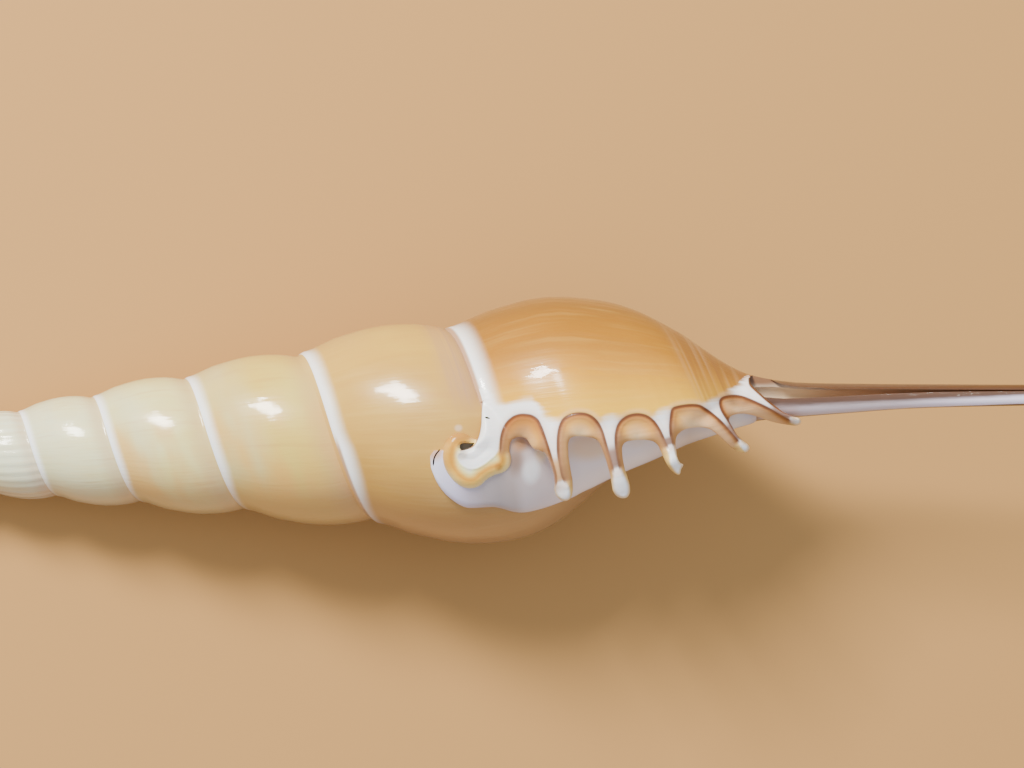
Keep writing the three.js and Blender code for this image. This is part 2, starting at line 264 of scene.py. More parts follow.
def joinUp(sheets, name):
    bpy.ops.object.select_all(action="DESELECT")
    for sheet in sheets:
        sheet.select_set(True)
    bpy.context.view_layer.objects.active = sheets[0]
    bpy.ops.object.join()
    bpy.context.object.name = name
    return bpy.context.object


def report(piece):
    count = Counter(key for face in piece.data.polygons for key in face.edge_keys)
    print(piece.name + ": faces", len(piece.data.polygons),
          "open edges", sum(n != 2 for n in count.values()))


# Merge what meets, fill what is open, turn the faces outward and give the piece its finish.
def closeUp(piece, look, gap=2e-7):
    only(piece)
    bpy.ops.object.mode_set(mode="EDIT")
    bpy.ops.mesh.select_mode(type="VERT")
    bpy.ops.mesh.select_all(action="SELECT")
    bpy.ops.mesh.remove_doubles(threshold=gap)
    bpy.ops.mesh.dissolve_degenerate(threshold=gap * 0.1)
    bpy.ops.mesh.select_all(action="DESELECT")
    bpy.ops.mesh.select_non_manifold(extend=False, use_wire=False, use_multi_face=False,
                                     use_non_contiguous=False, use_verts=False)
    if piece.data.total_edge_sel:
        bpy.ops.mesh.fill(use_beauty=True)
    bpy.ops.mesh.select_all(action="SELECT")
    bpy.ops.mesh.normals_make_consistent(inside=False)
    bpy.ops.object.mode_set(mode="OBJECT")
    piece.data.materials.clear()
    piece.data.materials.append(look)
    report(piece)
    return piece


def cutOrJoin(piece, other, operation):
    print(operation.lower(), other.name)
    only(piece)
    step = piece.modifiers.new("step", "BOOLEAN")
    step.operation = operation
    step.solver = "MANIFOLD"
    step.material_mode = "TRANSFER"
    step.object = other
    bpy.ops.object.modifier_apply(modifier=step.name)
    bpy.data.objects.remove(other, do_unlink=True)


# finishes are filled in further down; the pieces carry them from the start
# the last finish is painted shade, laid inside the curl's pit, the gap behind the callus and a
# small chip
outerGlaze, lipGlaze, innerGlaze, callusGlaze, gutterGlaze, hollowShadeGlaze = [
    bpy.data.materials.new(name) for name in
    ("shell outside", "lip", "shell inside", "callus", "canal inside", "painted hollow shade")]


# Outside of the shell, a filled spiral from the protoconch to the end of the canal
def makeSpiral():
    n = spiral["columns"]
    rows = np.array(spiral["rows"])
    turns = np.arange(-spiral["whorls"], spiral["end"] + 1e-6, 1 / n)
    last = len(turns) - 1
    start = sutureAlong(turns)[:, None]
    along = start * (1 + (spiral["growth"] - 1) * rows[None, :])
    angle = (spiral["lipAngle"] + 360 * turns)[:, None] + 0 * along
    behind = -360 * turns[:, None]
    dip = spiral["sink"] * np.clip((lip["seam"] - behind) / spiral["sinkOver"], 0, 1) ** 2
    grid = place(along, angle, radiusAt(turns[:, None], along) - dip)
    grid[:last + 1 - n, -1] = grid[n:last + 1, 0]     # a whorl ends where the next one starts
    whorls = layGrid("whorls", toRow(grid))

    # base of the last turn, down to the canal
    first = last - n
    t = turns[first:, None]
    baseStart = sutureAlong(t) * spiral["growth"]
    w = np.array([0] + spiral["baseRows"])[None, :]
    along = baseStart + (spiral["bodyEnd"] - baseStart) * w
    back = drawBack(along) * cornerShare(t - spiral["end"])
    angle = spiral["lipAngle"] + 360 * t - back
    here = t - back / 360
    radius = radiusAt(here, along)
    radius[:, -1] = spiral["canal"][0][1]
    radius = radius - dip[first:] * falls(along, *spiral["sinkTo"])
    base = place(along, angle, radius)
    base[:, 0] = grid[first:, -1]
    base[0, 0] = grid[last, 0]
    baseSheet = layGrid("base", toRow(base))

    # canal, rounded off at its tip
    ringAngle = angle[:, -1]
    stations = list(np.arange(*spiral["canalRows"]))
    radii = list(curveThrough(spiral["canal"], np.array(stations)))
    for s in (0, .25, .5, .7, .85, .95, .99, 1):
        stations.append(spiral["tipStart"] + (spiral["canalTip"] - spiral["tipStart"]) * s)
        radii.append(spiral["tipRadius"] * math.sqrt(1 - s ** 2.2))
    rings = [base[:, -1]]
    for a, r in zip(stations, radii):
        rings.append(place(np.full_like(ringAngle, a), ringAngle, np.full_like(ringAngle, r)))
    canalSheet = layGrid("canal", toRow(np.stack(rings, 1)))

    # protoconch, a low dome over the first turn
    rim = np.concatenate([grid[:n + 1, 0], grid[0, ::-1][1:]])
    top = np.array([spiral["apexTip"], 0, 0])
    dome = []
    for s in (0, .25, .5, .75, 1):
        low = rim * s + top * (1 - s)
        bulge = math.sqrt(max(0, 1 - (1 - s) ** 2)) - s if s < 1 else 0
        low = low + (rim - top) * np.array([0, 1, 1]) * bulge * 0.8
        dome.append(low)
    domeSheet = layGrid("protoconch", toRow(np.stack(dome, 1)))
    return closeUp(joinUp([whorls, baseSheet, canalSheet, domeSheet], "tibiaShell"), outerGlaze)


# Closed block between a lower and an upper sheet on the same grid
def slab(name, lower, upper, look):
    strip = np.concatenate([lower, upper[:, ::-1]], 1)
    strip = np.concatenate([strip, strip[:, :1]], 1)
    body = layGrid(name, toRow(strip))
    caps = [layGrid(name + " end", toRow(np.stack([lower[k], upper[k]], 0))) for k in (0, -1)]
    return closeUp(joinUp([body] + caps, name), look)


# Hollow of the last whorl, open at the lip
def makeHollow():
    turns = np.concatenate([np.linspace(-spiral["hollowTurns"], 0, 46), [.012, .024, .036]])
    share = np.array(spiral["hollowRows"])[None, :]
    t = turns[:, None]
    held = np.minimum(0, t)
    narrow = 0.5 + 0.5 * rises(held, -spiral["hollowTurns"], 0.2)
    start = sutureAlong(held) * spiral["hollowFrom"]
    along = start + (spiral["hollowTo"] - start) * share
    thick = spiral["wall"] * (1 - spiral["thinner"] * rises(along, *spiral["thinFrom"]))
    angle = spiral["lipAngle"] + 360 * t - drawBack(along) * cornerShare(t)
    here = np.minimum(0, (angle - spiral["lipAngle"]) / 360)
    outer = radiusAt(here, along) - thick
    inner = radiusAt(here - 1, along) + 0.05
    middle = (outer + inner) / 2
    half = np.maximum((outer - inner) / 2 * narrow, 0.2)
    rounding = np.sqrt(np.clip(1 - (2 * share - 1) ** 10, 0.04, 1))   # rounded in at both ends
    low = place(along, angle, middle - half * rounding)
    high = place(along, angle, middle + half * rounding)
    return slab("hollow", low, high, innerGlaze)


# Slit of the canal, on the side that is seen, closing towards the tip
groove = {
    "shape": [(1.75, -1), (1.75, 1), (.95, .9), (.5, 1.25), (.1, 1.25), (-.25, .8), (-.35, 0),
              (-.25, -.8), (.1, -1.25), (.5, -1.25), (.95, -.9)],
    "width": [(146, .44), (152, .42), (161, .34), (170, .21), (176, .13), (190, .085),
              (238, .075)],
    "before": [(145.5, 2.3), (149, 2.6)], "after": [(245, .6)],     # radius past both ends
    "rows": (147, 238, 1.5), "lastRows": [241, 244.5],
}


def makeGroove():
    first = groove["before"][0][0]
    stations = np.concatenate([[first], np.arange(*groove["rows"]), groove["lastRows"]])
    radius = curveThrough(groove["before"] + spiral["canal"] + groove["after"], stations)
    width = curveThrough(groove["width"], stations)
    a = math.radians(spiral["grooveAngle"])
    rings = []
    for s, r, w in zip(stations, radius, width):
        ring = []
        for out, side in groove["shape"] + groove["shape"][:1]:
            wide = side * w * r
            ring.append((s, r * out * math.cos(a) - wide * math.sin(a) + float(bowAt(s)),
                         r * out * math.sin(a) + wide * math.cos(a)))
        rings.append(ring)
    return closeUp(layGrid("slit", toRow(np.array(rings))), gutterGlaze)


# Lip, in picture points: the rim that is seen round the arches, the fingers and the curl
lip = {
    "rim": [
        (482.6, 402), (481.6, 412), (480.8, 425), (479, 434.5), (476, 439.3), (471.5, 437.3),
        (466, 434), (460, 433), (453.5, 434.3), (447.3, 440), (443.3, 448.5), (442.3, 459),
        (445.5, 470.5), (453, 481), (463, 487.8), (473, 488.8), (481, 485.6), (487, 480),
        (494.5, 475.8), (503.8, 472), (509.6, 466), (511.3, 458.5), (509.6, 451.5),
        (509.8, 445.5), (511.5, 440.5), (515.5, 437.8), (521, 437.2), (526.5, 439),
        (530, 444), (533.5, 448.5), (539, 451), (543.5, 452.3), (546.3, 455.5), (549, 461),
        (551.5, 468), (553.8, 475.5), (554.6, 483), (554.4, 490), (556.5, 496),
        (560.5, 499.9), (565, 501), (569.5, 499.3), (572, 495), (572.9, 488), (572.5, 480),
        (571, 471.5), (569.5, 462.5), (568.5, 454), (568.2, 446), (569.3, 440), (573, 436.8),
        (580, 436.3), (588, 437), (594.5, 438.8), (599, 442.8), (602.3, 450), (605.3, 458.5),
        (608, 467.5), (610.3, 476), (611.7, 484), (613, 491), (616.5, 496), (621.5, 498.2),
        (626.5, 497.6), (629.6, 493.5), (629.9, 486), (627.8, 478), (625.2, 470),
        (623.3, 461.5), (622.3, 453), (622.5, 446.5), (625.5, 442.3), (632, 440.5),
        (640, 439.9), (648, 440.2), (654, 442), (658.3, 446), (661.3, 452.5), (664.2, 459),
        (667.5, 465.5), (672, 471), (676.5, 474.3), (679.8, 474.3), (681.3, 469),
        (683.3, 464.6), (680, 462.8), (677.5, 457.5), (676.2, 450.5), (675.6, 443.5),
        (676.8, 436.3), (681.5, 431.3), (689, 428.2), (698, 427.4), (706, 428.1),
        (711.5, 430.2), (716.5, 434), (722.5, 439), (729, 445.2), (735.3, 449.8),
        (741.5, 452.5), (746.6, 452), (749.4, 448.5), (748.3, 445), (743.2, 441),
        (738.2, 436), (734.8, 431), (732, 425.8), (729.4, 421), (730, 417.3), (734, 414.8),
        (741.5, 413.6), (750.5, 414.8), (759.5, 417.4), (768.5, 420.6), (778.5, 423.2),
        (788.5, 425), (796.3, 425.6), (800.6, 423.5), (801, 420.3), (798, 417.8),
        (793, 416.6), (787.5, 414), (781.5, 410.5), (775.5, 406), (769, 401), (762, 394.8),
        (755.5, 388.8), (751, 384), (750, 380.5), (750.4, 378),
    ],
    # where the white outside ends in a thin dark line, round the arches and down the fingers
    "line": [
        (484.3, 402), (483.4, 412), (482.8, 425), (480.8, 436), (477, 444.5), (472, 449.3),
        (465, 451.5), (459.5, 453), (457.5, 457), (459, 462), (463, 466), (469, 468.5),
        (476, 468.5), (484, 464.5), (491, 459), (496, 454.5), (498.5, 450), (499.3, 444),
        (500.5, 436), (503, 428), (507, 421.5), (513, 416.5), (519, 414.3), (525, 414),
        (532, 415.3), (538, 419.5), (542, 427), (545, 435), (548, 444), (550.5, 452),
        (553, 460), (555.5, 468), (557.3, 476), (557.3, 482), (556.8, 489), (558.5, 495),
        (562, 498.6), (566, 499), (568, 496), (567.3, 489), (564.5, 483), (561.2, 477),
        (559.6, 470), (558.2, 462), (557.2, 454), (556.9, 445), (557.2, 436), (558.8, 427),
        (562, 420), (567, 415.8), (574, 413.3), (581, 412.8), (588, 414), (594, 417.5),
        (599, 423), (603, 431), (606, 441), (609, 451), (611.5, 459), (613.5, 467),
        (615, 476), (615, 484), (616.5, 491), (620.5, 495.3), (625, 495.5), (627, 491),
        (626, 484), (622.5, 477), (619.5, 470), (617.3, 462), (615.7, 453), (614.8, 444),
        (615, 434), (617.2, 425.5), (621, 420), (627, 415.8), (634, 413.8), (641, 413.8),
        (648, 416), (654.5, 421), (659.5, 428), (663.5, 436), (667, 443.5), (669.5, 450),
        (671.5, 456), (672, 462), (675, 467.5), (678.5, 471.5), (680.3, 467.5),
        (681, 464.4), (678.3, 461), (675.3, 455), (673.6, 449), (671.8, 443), (670, 436),
        (669.3, 428), (669.8, 419), (671, 411), (673.5, 407.5), (679, 405.8), (686, 404.7),
        (693, 404.3), (700, 405.2), (706, 408.5), (713, 413.5), (720, 419.5), (726, 425.5),
        (731, 431), (735.5, 436.5), (739.5, 441.5), (743, 446), (746, 449.5), (747.4, 448),
        (745, 444), (740.8, 440), (736, 434.8), (732, 428.8), (728.3, 422.5),
        (724.5, 416.5), (721, 410.5), (719.3, 404.5), (719.8, 400), (722.5, 397.2),
        (728, 395.5), (735, 395), (742, 396), (749, 398.5), (757, 402), (765, 405.8),
        (773, 409.8), (780, 414), (787, 418), (793, 421.5), (797.5, 422.3), (798.7, 420.4),
        (794, 417.9), (787.5, 415.4), (781, 412), (775, 408), (768.5, 402.8),
        (761.3, 396.5), (754.7, 390.5), (750, 385.7), (748.7, 381), (748.9, 378),
    ],
    # middle of the curled band and half its width
    "curl": [
        (504.5, 436, 3), (504.8, 443, 5), (504.6, 451, 6.5), (503.3, 459, 8.3),
        (497.5, 465.5, 9.6), (491, 469, 10), (484, 473, 10.2), (477.5, 477, 10.5),
        (471, 478, 10.8), (464, 476, 10.5), (457.5, 471, 10), (452.5, 464, 9.3),
        (450, 456, 8.4), (450.5, 448, 7.6), (454, 441.5, 6.8), (460, 437.8, 5.6),
        (466.5, 438, 4.8), (471.5, 440.8, 3.6),
    ],
    # height of the folded corner over the whorl along the curl, and its funnel
    "foldHeight": [(0, 1.55), (.12, 1.5), (.3, 1.45), (.5, 1.5), (.65, 1.45), (.8, 1.25),
                   (.92, 1.05), (1, .85)],
    "funnel": (466, 447.2, 7.0, 4.6),
    # upper border of the white margin
    "whiteTop": [(470, 372), (484, 380), (490, 399), (497, 407), (506, 408), (514, 405),
                 (524, 402), (532, 402), (537, 407), (541, 413), (546, 418), (560, 422),
                 (600, 424), (604, 420), (612, 418), (620, 421), (640, 424), (652, 421),
                 (658, 415), (666, 412), (673, 413), (690, 412), (704, 408), (712, 403),
                 (722, 401), (730, 396), (738, 388), (748, 379), (760, 374)],
    "behind": 24.0,            # degrees that the piece reaches back under the wall
    "corner": [21, 18, 15.5, 13.5],     # and at its back corner
    "seam": 17.0,              # degrees back where it comes out of the wall
    "wallBack": 0.95,          # thickness at its back edge
    "dip": 0.3,                # how deep it goes under the wall
    "drop": 1.1, "dropWide": 0.025,     # height of the bevel, more where it is wide
    "bead": 0.07, "dent": 0.10,         # swelling on the bevel, dent along the line
    "fingersFrom": 520, "tipLift": 1.2, "tipSwell": 0.9, "tipReach": 16, "tipFade": 0.12,
    "overWhorl": 0.12, "intoWhorl": 0.8, "blend": 0.25, "sunk": 1.3, "funnelDepth": 0.8,
    "fine": 1.05, "coarse": 2.3,        # steps between the mesh's points
    "window": (400, 830, 340, 520),     # part of the picture that its colours reach
    # where the shapes and the dark line change, across or down the picture: start and width
    "foldEnd": (497, 9), "joinEnd": (508, 16), "lowArch": (508, 14), "restEnd": (506, 5),
    "foldTop": (390, 12), "sunkDown": (420, 34), "sunkEnd": (496, 12),
    "belowDown": (434, 20), "belowEnd": (492, 10),
    "cornerDown": (392, 46), "cornerEnd": (438, 14), "cornerFrom": (474, 4),
    "lineFrom": (497.5, 3), "noLineDown": (449, 12), "noLineEnd": (507, 5),
}
whiteFrom = [.83, .68, .6, .83, .88]        # share of each finger where its white end starts
stripTo = [.58, .47, .50, .55, .62]         # and where the white margin above it runs out
# Fingers: along, offset towards -Y, height, radius
fingers = [
    [(119.4, -1.2, 15.1, 2.4), (119.7, .9, 16.6, 1.8), (120.0, 3.2, 17.1, 1.3),
     (120.5, 5.8, 16.8, 1.15), (121.2, 8.2, 15.6, 1.15), (121.6, 10.2, 13.9, .9)],
    [(127.5, -1.2, 15.0, 2.4), (127.7, 1.0, 16.3, 1.7), (128.0, 3.3, 16.9, 1.2),
     (128.5, 5.8, 16.4, 1.05), (129.2, 8.4, 14.9, 1.05), (129.9, 10.9, 12.5, .8)],
    [(135.0, -.8, 12.2, 2.3), (135.3, 1.2, 13.7, 1.6), (135.7, 3.2, 14.1, 1.15),
     (136.2, 5.2, 13.5, 1.0), (136.9, 7.1, 12.3, 1.0), (137.4, 8.5, 10.8, .75)],
    [(141.4, -.8, 7.8, 2.0), (142.5, .9, 8.8, 1.45), (143.5, 2.2, 9.0, 1.1),
     (144.6, 3.6, 8.4, .95), (145.9, 5.2, 7.0, .95), (147.1, 6.7, 5.0, .7)],
    [(145.8, -2.0, 3.4, 1.9), (147.9, -.8, 4.2, 1.4), (149.6, .3, 4.5, 1.1),
     (152.3, 1.8, 3.9, .9), (154.7, 3.0, 3.0, .75)],
]


# Distance from points q to a line of points, and how far along the line the nearest place is
def distanceTo(q, line):
    line = np.asarray(line, float)[:, :2]
    best = np.full(len(q), 1e9)
    where = np.zeros(len(q))
    for k in range(len(line) - 1):
        a, b = line[k], line[k + 1]
        ab = b - a
        t = np.clip(((q - a) @ ab) / (ab @ ab), 0, 1)
        d = np.hypot(*(q - a - t[:, None] * ab).T)
        nearer = d < best
        best[nearer] = d[nearer]
        where[nearer] = (k + t)[nearer]
    return best, where


def insideOf(q, loop):
    loop = np.asarray(loop, float)
    inside = np.zeros(len(q), bool)
    for a, b in zip(loop, np.roll(loop, -1, 0)):
        if a[1] == b[1]:
            continue
        crosses = (a[1] > q[:, 1]) != (b[1] > q[:, 1])
        inside ^= crosses & (q[:, 0] < (b[0] - a[0]) * (q[:, 1] - a[1]) / (b[1] - a[1]) + a[0])
    return inside


# Rounded line through the points, at even steps
def rounded(line, step):
    line = np.asarray(line, float)
    ends = np.concatenate([[2 * line[0] - line[1]], line, [2 * line[-1] - line[-2]]])
    out = []
    for k in range(1, len(ends) - 2):
        p0, p1, p2, p3 = ends[k - 1:k + 3]
        for t in np.linspace(0, 1, 12, endpoint=False):
            out.append(0.5 * (2 * p1 + (p2 - p0) * t + (2 * p0 - 5 * p1 + 4 * p2 - p3) * t * t
                              + (3 * p1 - p0 - 3 * p2 + p3) * t ** 3))
    out.append(line[-1])
    out = np.array(out)
    run = np.concatenate([[0], np.cumsum(np.hypot(*np.diff(out[:, :2], axis=0).T))])
    at = np.linspace(0, run[-1], max(2, int(round(run[-1] / step)) + 1))
    return np.stack([np.interp(at, run, out[:, c]) for c in range(out.shape[1])], -1)


# Height over the axis at which the surface laid so many turns ago shows at picture points q,
# found by going part of the way to it again and again
def heightOn(q, turnsBack):
    z = np.full(len(q), 14.0)
    for _ in range(24):
        p = onRay(q, z)
        y = p[:, 1] - bowAt(p[:, 0])
        turn = (np.degrees(np.arctan2(z, y)) - spiral["lipAngle"]) / 360 - turnsBack
        r = radiusAt(turn, p[:, 0])
        s = (y / r) ** 2
        over = r * np.sqrt(np.clip(1 - s, 0.03, 1))
        past = r * np.maximum(1 - s / 2 - s * s / 8, -0.4)
        new = np.where(y > 0, over, past if turnsBack == 0 else over)
        z = z + 0.6 * (new - z)
    return z


fingerPicture, fingerLift = [], []
for path in fingers:
    q = toPicture(np.array([(a, float(bowAt(a)) - down, up) for a, down, up, r in path]))
    lift = np.array([up + 0.85 * r for a, down, up, r in path]) - heightOn(q, 0)
    lift[0] = 0
    fine = rounded(np.concatenate([q, lift[:, None]], 1), 1.5)
    fingerPicture.append(fine[:, :2])
    fingerLift.append(fine[:, 2] * ease(np.linspace(0, 4, len(fine))))


# Outside surface over the lip, carried on past the edge and out along the fingers, and the
# whorl's surface under it
def outsideHeight(q):
    z = heightOn(q, 0)
    weights, lifts = [], []
    for q2, lift in zip(fingerPicture, fingerLift):
        d, at = distanceTo(q, q2)
        weights.append(1 / (d * d + 4) ** 1.5)
        lifts.append(np.interp(at, range(len(lift)), lift))
    weights = np.array(weights)
    lift = (weights * np.array(lifts)).sum(0) / weights.sum(0)
    return z + lift * rises(q[:, 0], lip["fingersFrom"], 20), heightOn(q, 1)


# The piece's edge under the wall, from the canal back to the suture and round to the curl
def backEdge():
    corner = np.array(lip["corner"])
    behind = np.concatenate([np.full(70, lip["behind"]), corner])
    last = sutureAlong(-lip["behind"] / 360) + 0.5
    along = np.concatenate([np.linspace(148.6, last, 70), sutureAlong(-corner / 360) + 0.45])
    angle = spiral["lipAngle"] - drawBack(along) - behind
    return toPicture(place(along, angle, radiusAt((angle - spiral["lipAngle"]) / 360, along)))


lipRim, lipLine, curlLine = (rounded(lip[name], step)
                             for name, step in (("rim", 1.0), ("line", 1.2), ("curl", 2)))
outline = np.concatenate([lipRim, backEdge()])
lineLoop = np.concatenate([lipLine, backEdge()])
outlineLoop = np.concatenate([outline, outline[:1]])


# What the lip's shape and colour need to know at picture points: distance to the rim and from
# the line, share of the curl's half width, place on a finger (-1 where the white strip ends, 0
# where the white tip starts), how much of the line shows, and distance to the finger
def lipFields(q):
    dRim = distanceTo(q, lipRim)[0]
    dLine = distanceTo(q, lipLine)[0]
    dLine = np.where(insideOf(q, lineLoop), -dLine, dLine)
    d, at = distanceTo(q, curlLine)
    half = np.interp(at, range(len(curlLine)), curlLine[:, 2])
    tip = np.zeros(len(q))
    near = np.full(len(q), 1e9)
    for q2, white, strip in zip(fingerPicture, whiteFrom, stripTo):
        df, atf = distanceTo(q, q2)
        share = atf / (len(q2) - 1) - white
        share = share / np.where(share > 0, lip["tipFade"], white - strip)
        closer = df < near
        tip[closer] = share[closer]
        near = np.minimum(near, df)
    tip = np.where(near < lip["tipReach"], np.clip(tip, -3, 3), -3)
    # the dark line and the bevel's colour stop at the curl and towards the fingertips
    lined = falls(tip, 0.3, 0.7) * rises(q[:, 0], *lip["lineFrom"])
    noLine = falls(q[:, 0], *lip["noLineEnd"]) * rises(q[:, 1], *lip["noLineDown"])
    return dRim, dLine, d / half, tip, lined * (1 - noLine), near


# How high the folded corner and its curl stand over the whorl
def foldedHeight(q):
    run, crest = np.array(lip["foldHeight"]).T
    crest = np.interp(np.linspace(0, 1, len(curlLine)), run, crest)
    weights = 1 / (((q[:, None] - curlLine[None, :, :2]) ** 2).sum(-1) + 9) ** 2
    crest = (weights * crest).sum(1) / weights.sum(1)
    corner = falls(q[:, 1], *lip["cornerEnd"]) * rises(q[:, 0], *lip["cornerFrom"])
    height = lip["foldHeight"][0][1] * rises(q[:, 1], *lip["cornerDown"])
    return crest * (1 - corner) + height * corner


# Points inside the outline, closer together where the shape turns fast, and their triangles
def layPoints():
    low, high = outline.min(0), outline.max(0)
    spots = []
    for step, fine in ((lip["fine"], True), (lip["coarse"], False)):
        xs = np.arange(low[0], high[0], step)
        ys = np.arange(low[1], high[1], step * 0.866)
        gx, gy = np.meshgrid(xs, ys)
        gx = gx + (np.arange(len(ys)) % 2)[:, None] * step / 2
        q = np.stack([gx.ravel(), gy.ravel()], -1)
        q = q[insideOf(q, outline)]
        edge = distanceTo(q, outlineLoop)[0]
        deep = distanceTo(q, lipLine)[0]
        busy = ~insideOf(q, lineLoop) | (deep < 5) | ((q[:, 0] < 512) & (q[:, 1] > 436))
        spots.append(q[(edge > step * 0.55) & (busy == fine) & (deep > step * 0.45)])
    inner = rounded(lip["line"], 1.0)
    inner = inner[insideOf(inner, outline)]
    spots.append(inner[distanceTo(inner, outlineLoop)[0] > 0.5])
    # two close rings just inside the rim, where the surface turns over
    along = np.gradient(lipRim, axis=0)
    inward = np.stack([along[:, 1], -along[:, 0]], -1) / np.hypot(*along.T)[:, None]
    if insideOf(lipRim + 0.22 * inward, outline).mean() < 0.5:
        inward = -inward
    for inset in (0.22, 0.6):
        near = lipRim + inset * inward
        clear = distanceTo(near, outlineLoop)[0] > inset * 0.7
        spots.append(near[insideOf(near, outline) & clear])
    n = len(outline)
    points = np.concatenate([outline] + spots)
    edges = [(k, (k + 1) % n) for k in range(n)]
    verts, _, tris, origin, _, _ = delaunay_2d_cdt([Vector(p) for p in points], edges, [], 1, 1e-5)
    q = np.array([tuple(v) for v in verts])
    tris = np.array([t for t in tris if len(t) == 3])
    loop = [next(k for k, o in enumerate(origin) if m in o) for m in range(n)]
    print("lip: points", len(q), "triangles", len(tris), "outline", n)
    return q, tris, loop


def makeLip():
    q, tris, loop = layPoints()
    x, y = q[:, 0], q[:, 1]
    dRim, dLine, _, tip, lined, near = lipFields(q)
    z, under = outsideHeight(q)
    back = (behindLip(onRay(q, z)) - lip["seam"]) / (lip["behind"] - lip["seam"])
    dip = lip["dip"] * np.clip(back, 0, 1.2) ** 2
    high = foldedHeight(q)
    # arches: the outside rounds over a bevel down to the rim, and the fingertips are beads
    band = np.maximum(dRim + dLine, 0.01)
    past = np.clip(dLine, 0, None)
    t = past / np.maximum(past + dRim, 1e-6)
    fall = 0.3 * t + 0.7 * (1 - np.sqrt(np.clip(1 - t * t, 0, 1)))
    drop = lip["drop"] + lip["dropWide"] * np.clip(band, 0, 26)
    drop = drop * (1 - 0.45 * falls(x, *lip["lowArch"]))
    bead = (lip["bead"] * np.exp(-((dLine - 4.6) / 1.5) ** 2)
            - lip["dent"] * np.exp(-(dLine / 1.1) ** 2))
    folded = smoothMax(z, under + high + lip["overWhorl"], lip["blend"])
    joined = falls(x, *lip["joinEnd"])
    outside = z * (1 - joined) + folded * joined
    arch = outside - dip - drop * fall + bead * lined * (0.35 + 0.65 * rises(band, 9, 8))
    onFingers = x > lip["fingersFrom"]
    swell = np.sqrt(np.clip(1 - (near / 9) ** 2, 0, 1)) - 0.5
    lift = lip["tipLift"] * ease(tip / 3) * onFingers
    arch = arch + ease(tip) * onFingers * lip["tipSwell"] * swell + lift
    # folded corner and its curl: rounded off at the rim, sunk inside the line
    edge = np.sqrt(np.clip(1 - (1 - np.minimum(dRim / 7, 1)) ** 2, 0, 1))
    folded = under + (lip["overWhorl"] + high * edge) * rises(y, *lip["foldTop"])
    sunk = lip["sunk"] * rises(y, *lip["sunkDown"]) * falls(x, *lip["sunkEnd"])
    folded = smoothMax(folded, z - dip - sunk, lip["blend"])
    below = rises(y, *lip["belowDown"]) * falls(x, *lip["belowEnd"])
    folded = folded - below * 0.35 * ease((-dLine - 0.5) / 12)
    folded = folded + below * lip["dent"] * np.exp(-(dLine / 1.2) ** 2)
    left = falls(x, *lip["foldEnd"])
    funnel = np.hypot((x - lip["funnel"][0]) / lip["funnel"][2],
                      (y - lip["funnel"][1]) / lip["funnel"][3])
    top = arch * (1 - left) + folded * left - lip["funnelDepth"] * falls(funnel, 0.5, 0.9)
    # underside
    deep = np.minimum(dRim / 6, 1)
    belly = (0.3 + 0.55 * falls(band, 8, 10)) * np.sqrt(1 - (1 - deep) ** 2)
    inward = rises(dRim, 18, 38)
    bottom = z + lift - (drop + belly + 0.02) * (1 - inward) - lip["wallBack"] * inward
    held = falls(x, *lip["restEnd"])
    bottom = bottom * (1 - held) + (under - lip["intoWhorl"]) * held
    bottom = np.minimum(bottom, top - 0.03)

    both = np.concatenate([onRay(q, top), onRay(q, bottom)])
    m = len(q)
    faces = [tuple(t) for t in tris] + [tuple(t[::-1] + m) for t in tris]
    for a, b in zip(loop, loop[1:] + loop[:1]):
        faces.append((a, b, b + m, a + m))
    # a plain grid gives the object, and its mesh is then drawn over the outline
    sheet = layGrid("lip", np.zeros((2, 2, 3)))
    sheet.data.clear_geometry()
    sheet.data.from_pydata(toRow(both).tolist(), [], [tuple(map(int, f)) for f in faces])
    closeUp(sheet, lipGlaze, 1e-8)
    sheet.data.materials.append(innerGlaze)
    for face in sheet.data.polygons[len(tris):2 * len(tris)]:
        face.material_index = 1
    return sheet


# Glazed pad beside the aperture: along, angle of its inner edge, angle of its outer edge
callus = {
    "edge": [(102.9, 104, 110), (103.6, 101, 118), (105.2, 101, 127), (107.8, 103, 134),
             (111, 100, 135.5), (115, 74, 145), (118, 70, 150), (121, 70, 156), (126, 70, 171),
             (133, 70, 181), (141, 70, 186), (145, 70, 180), (149, 70, 168)],
    "height": 0.65, "rounding": 1.5, "startSlope": 1.2, "endSlope": 0.5,
    "depth": 0.7, "fullDepthAt": 12, "sunk": 0.04,      # below the whorl, at the middle and rim
    "points": (150, 60),
}


def makeCallus():
    start, end = callus["edge"][0][0], callus["edge"][-1][0]
    alongPoints, acrossPoints = callus["points"]
    along = np.linspace(start, end, alongPoints)[:, None]
    even = np.linspace(0, 1, acrossPoints)[None, :]
    share = 0.5 * (0.5 - 0.5 * np.cos(even * math.pi)) + 0.5 * even     # closer at both sides
    inner = curveThrough([(a, b) for a, b, c in callus["edge"]], along)
    outer = curveThrough([(a, c) for a, b, c in callus["edge"]], along)
    angle = inner + (outer - inner) * share
    radius = radiusAt((angle - spiral["lipAngle"]) / 360 - 1, along)
    reach = np.minimum((outer - angle) * radius * math.pi / 180,
                       (along - start) * callus["startSlope"])
    reach = np.minimum(reach, (end - along) * callus["endSlope"])
    reach = np.clip(reach / callus["rounding"], 0, 1)
    rise = callus["height"] * np.sqrt(1 - (1 - reach) ** 2)
    depth = callus["depth"] * np.clip(radius / callus["fullDepthAt"], 0.2, 1)
    low = place(along, angle, radius - depth)
    high = place(along, angle, radius + rise - callus["sunk"] * (1 - reach))
    return slab("callus", low, high, callusGlaze)


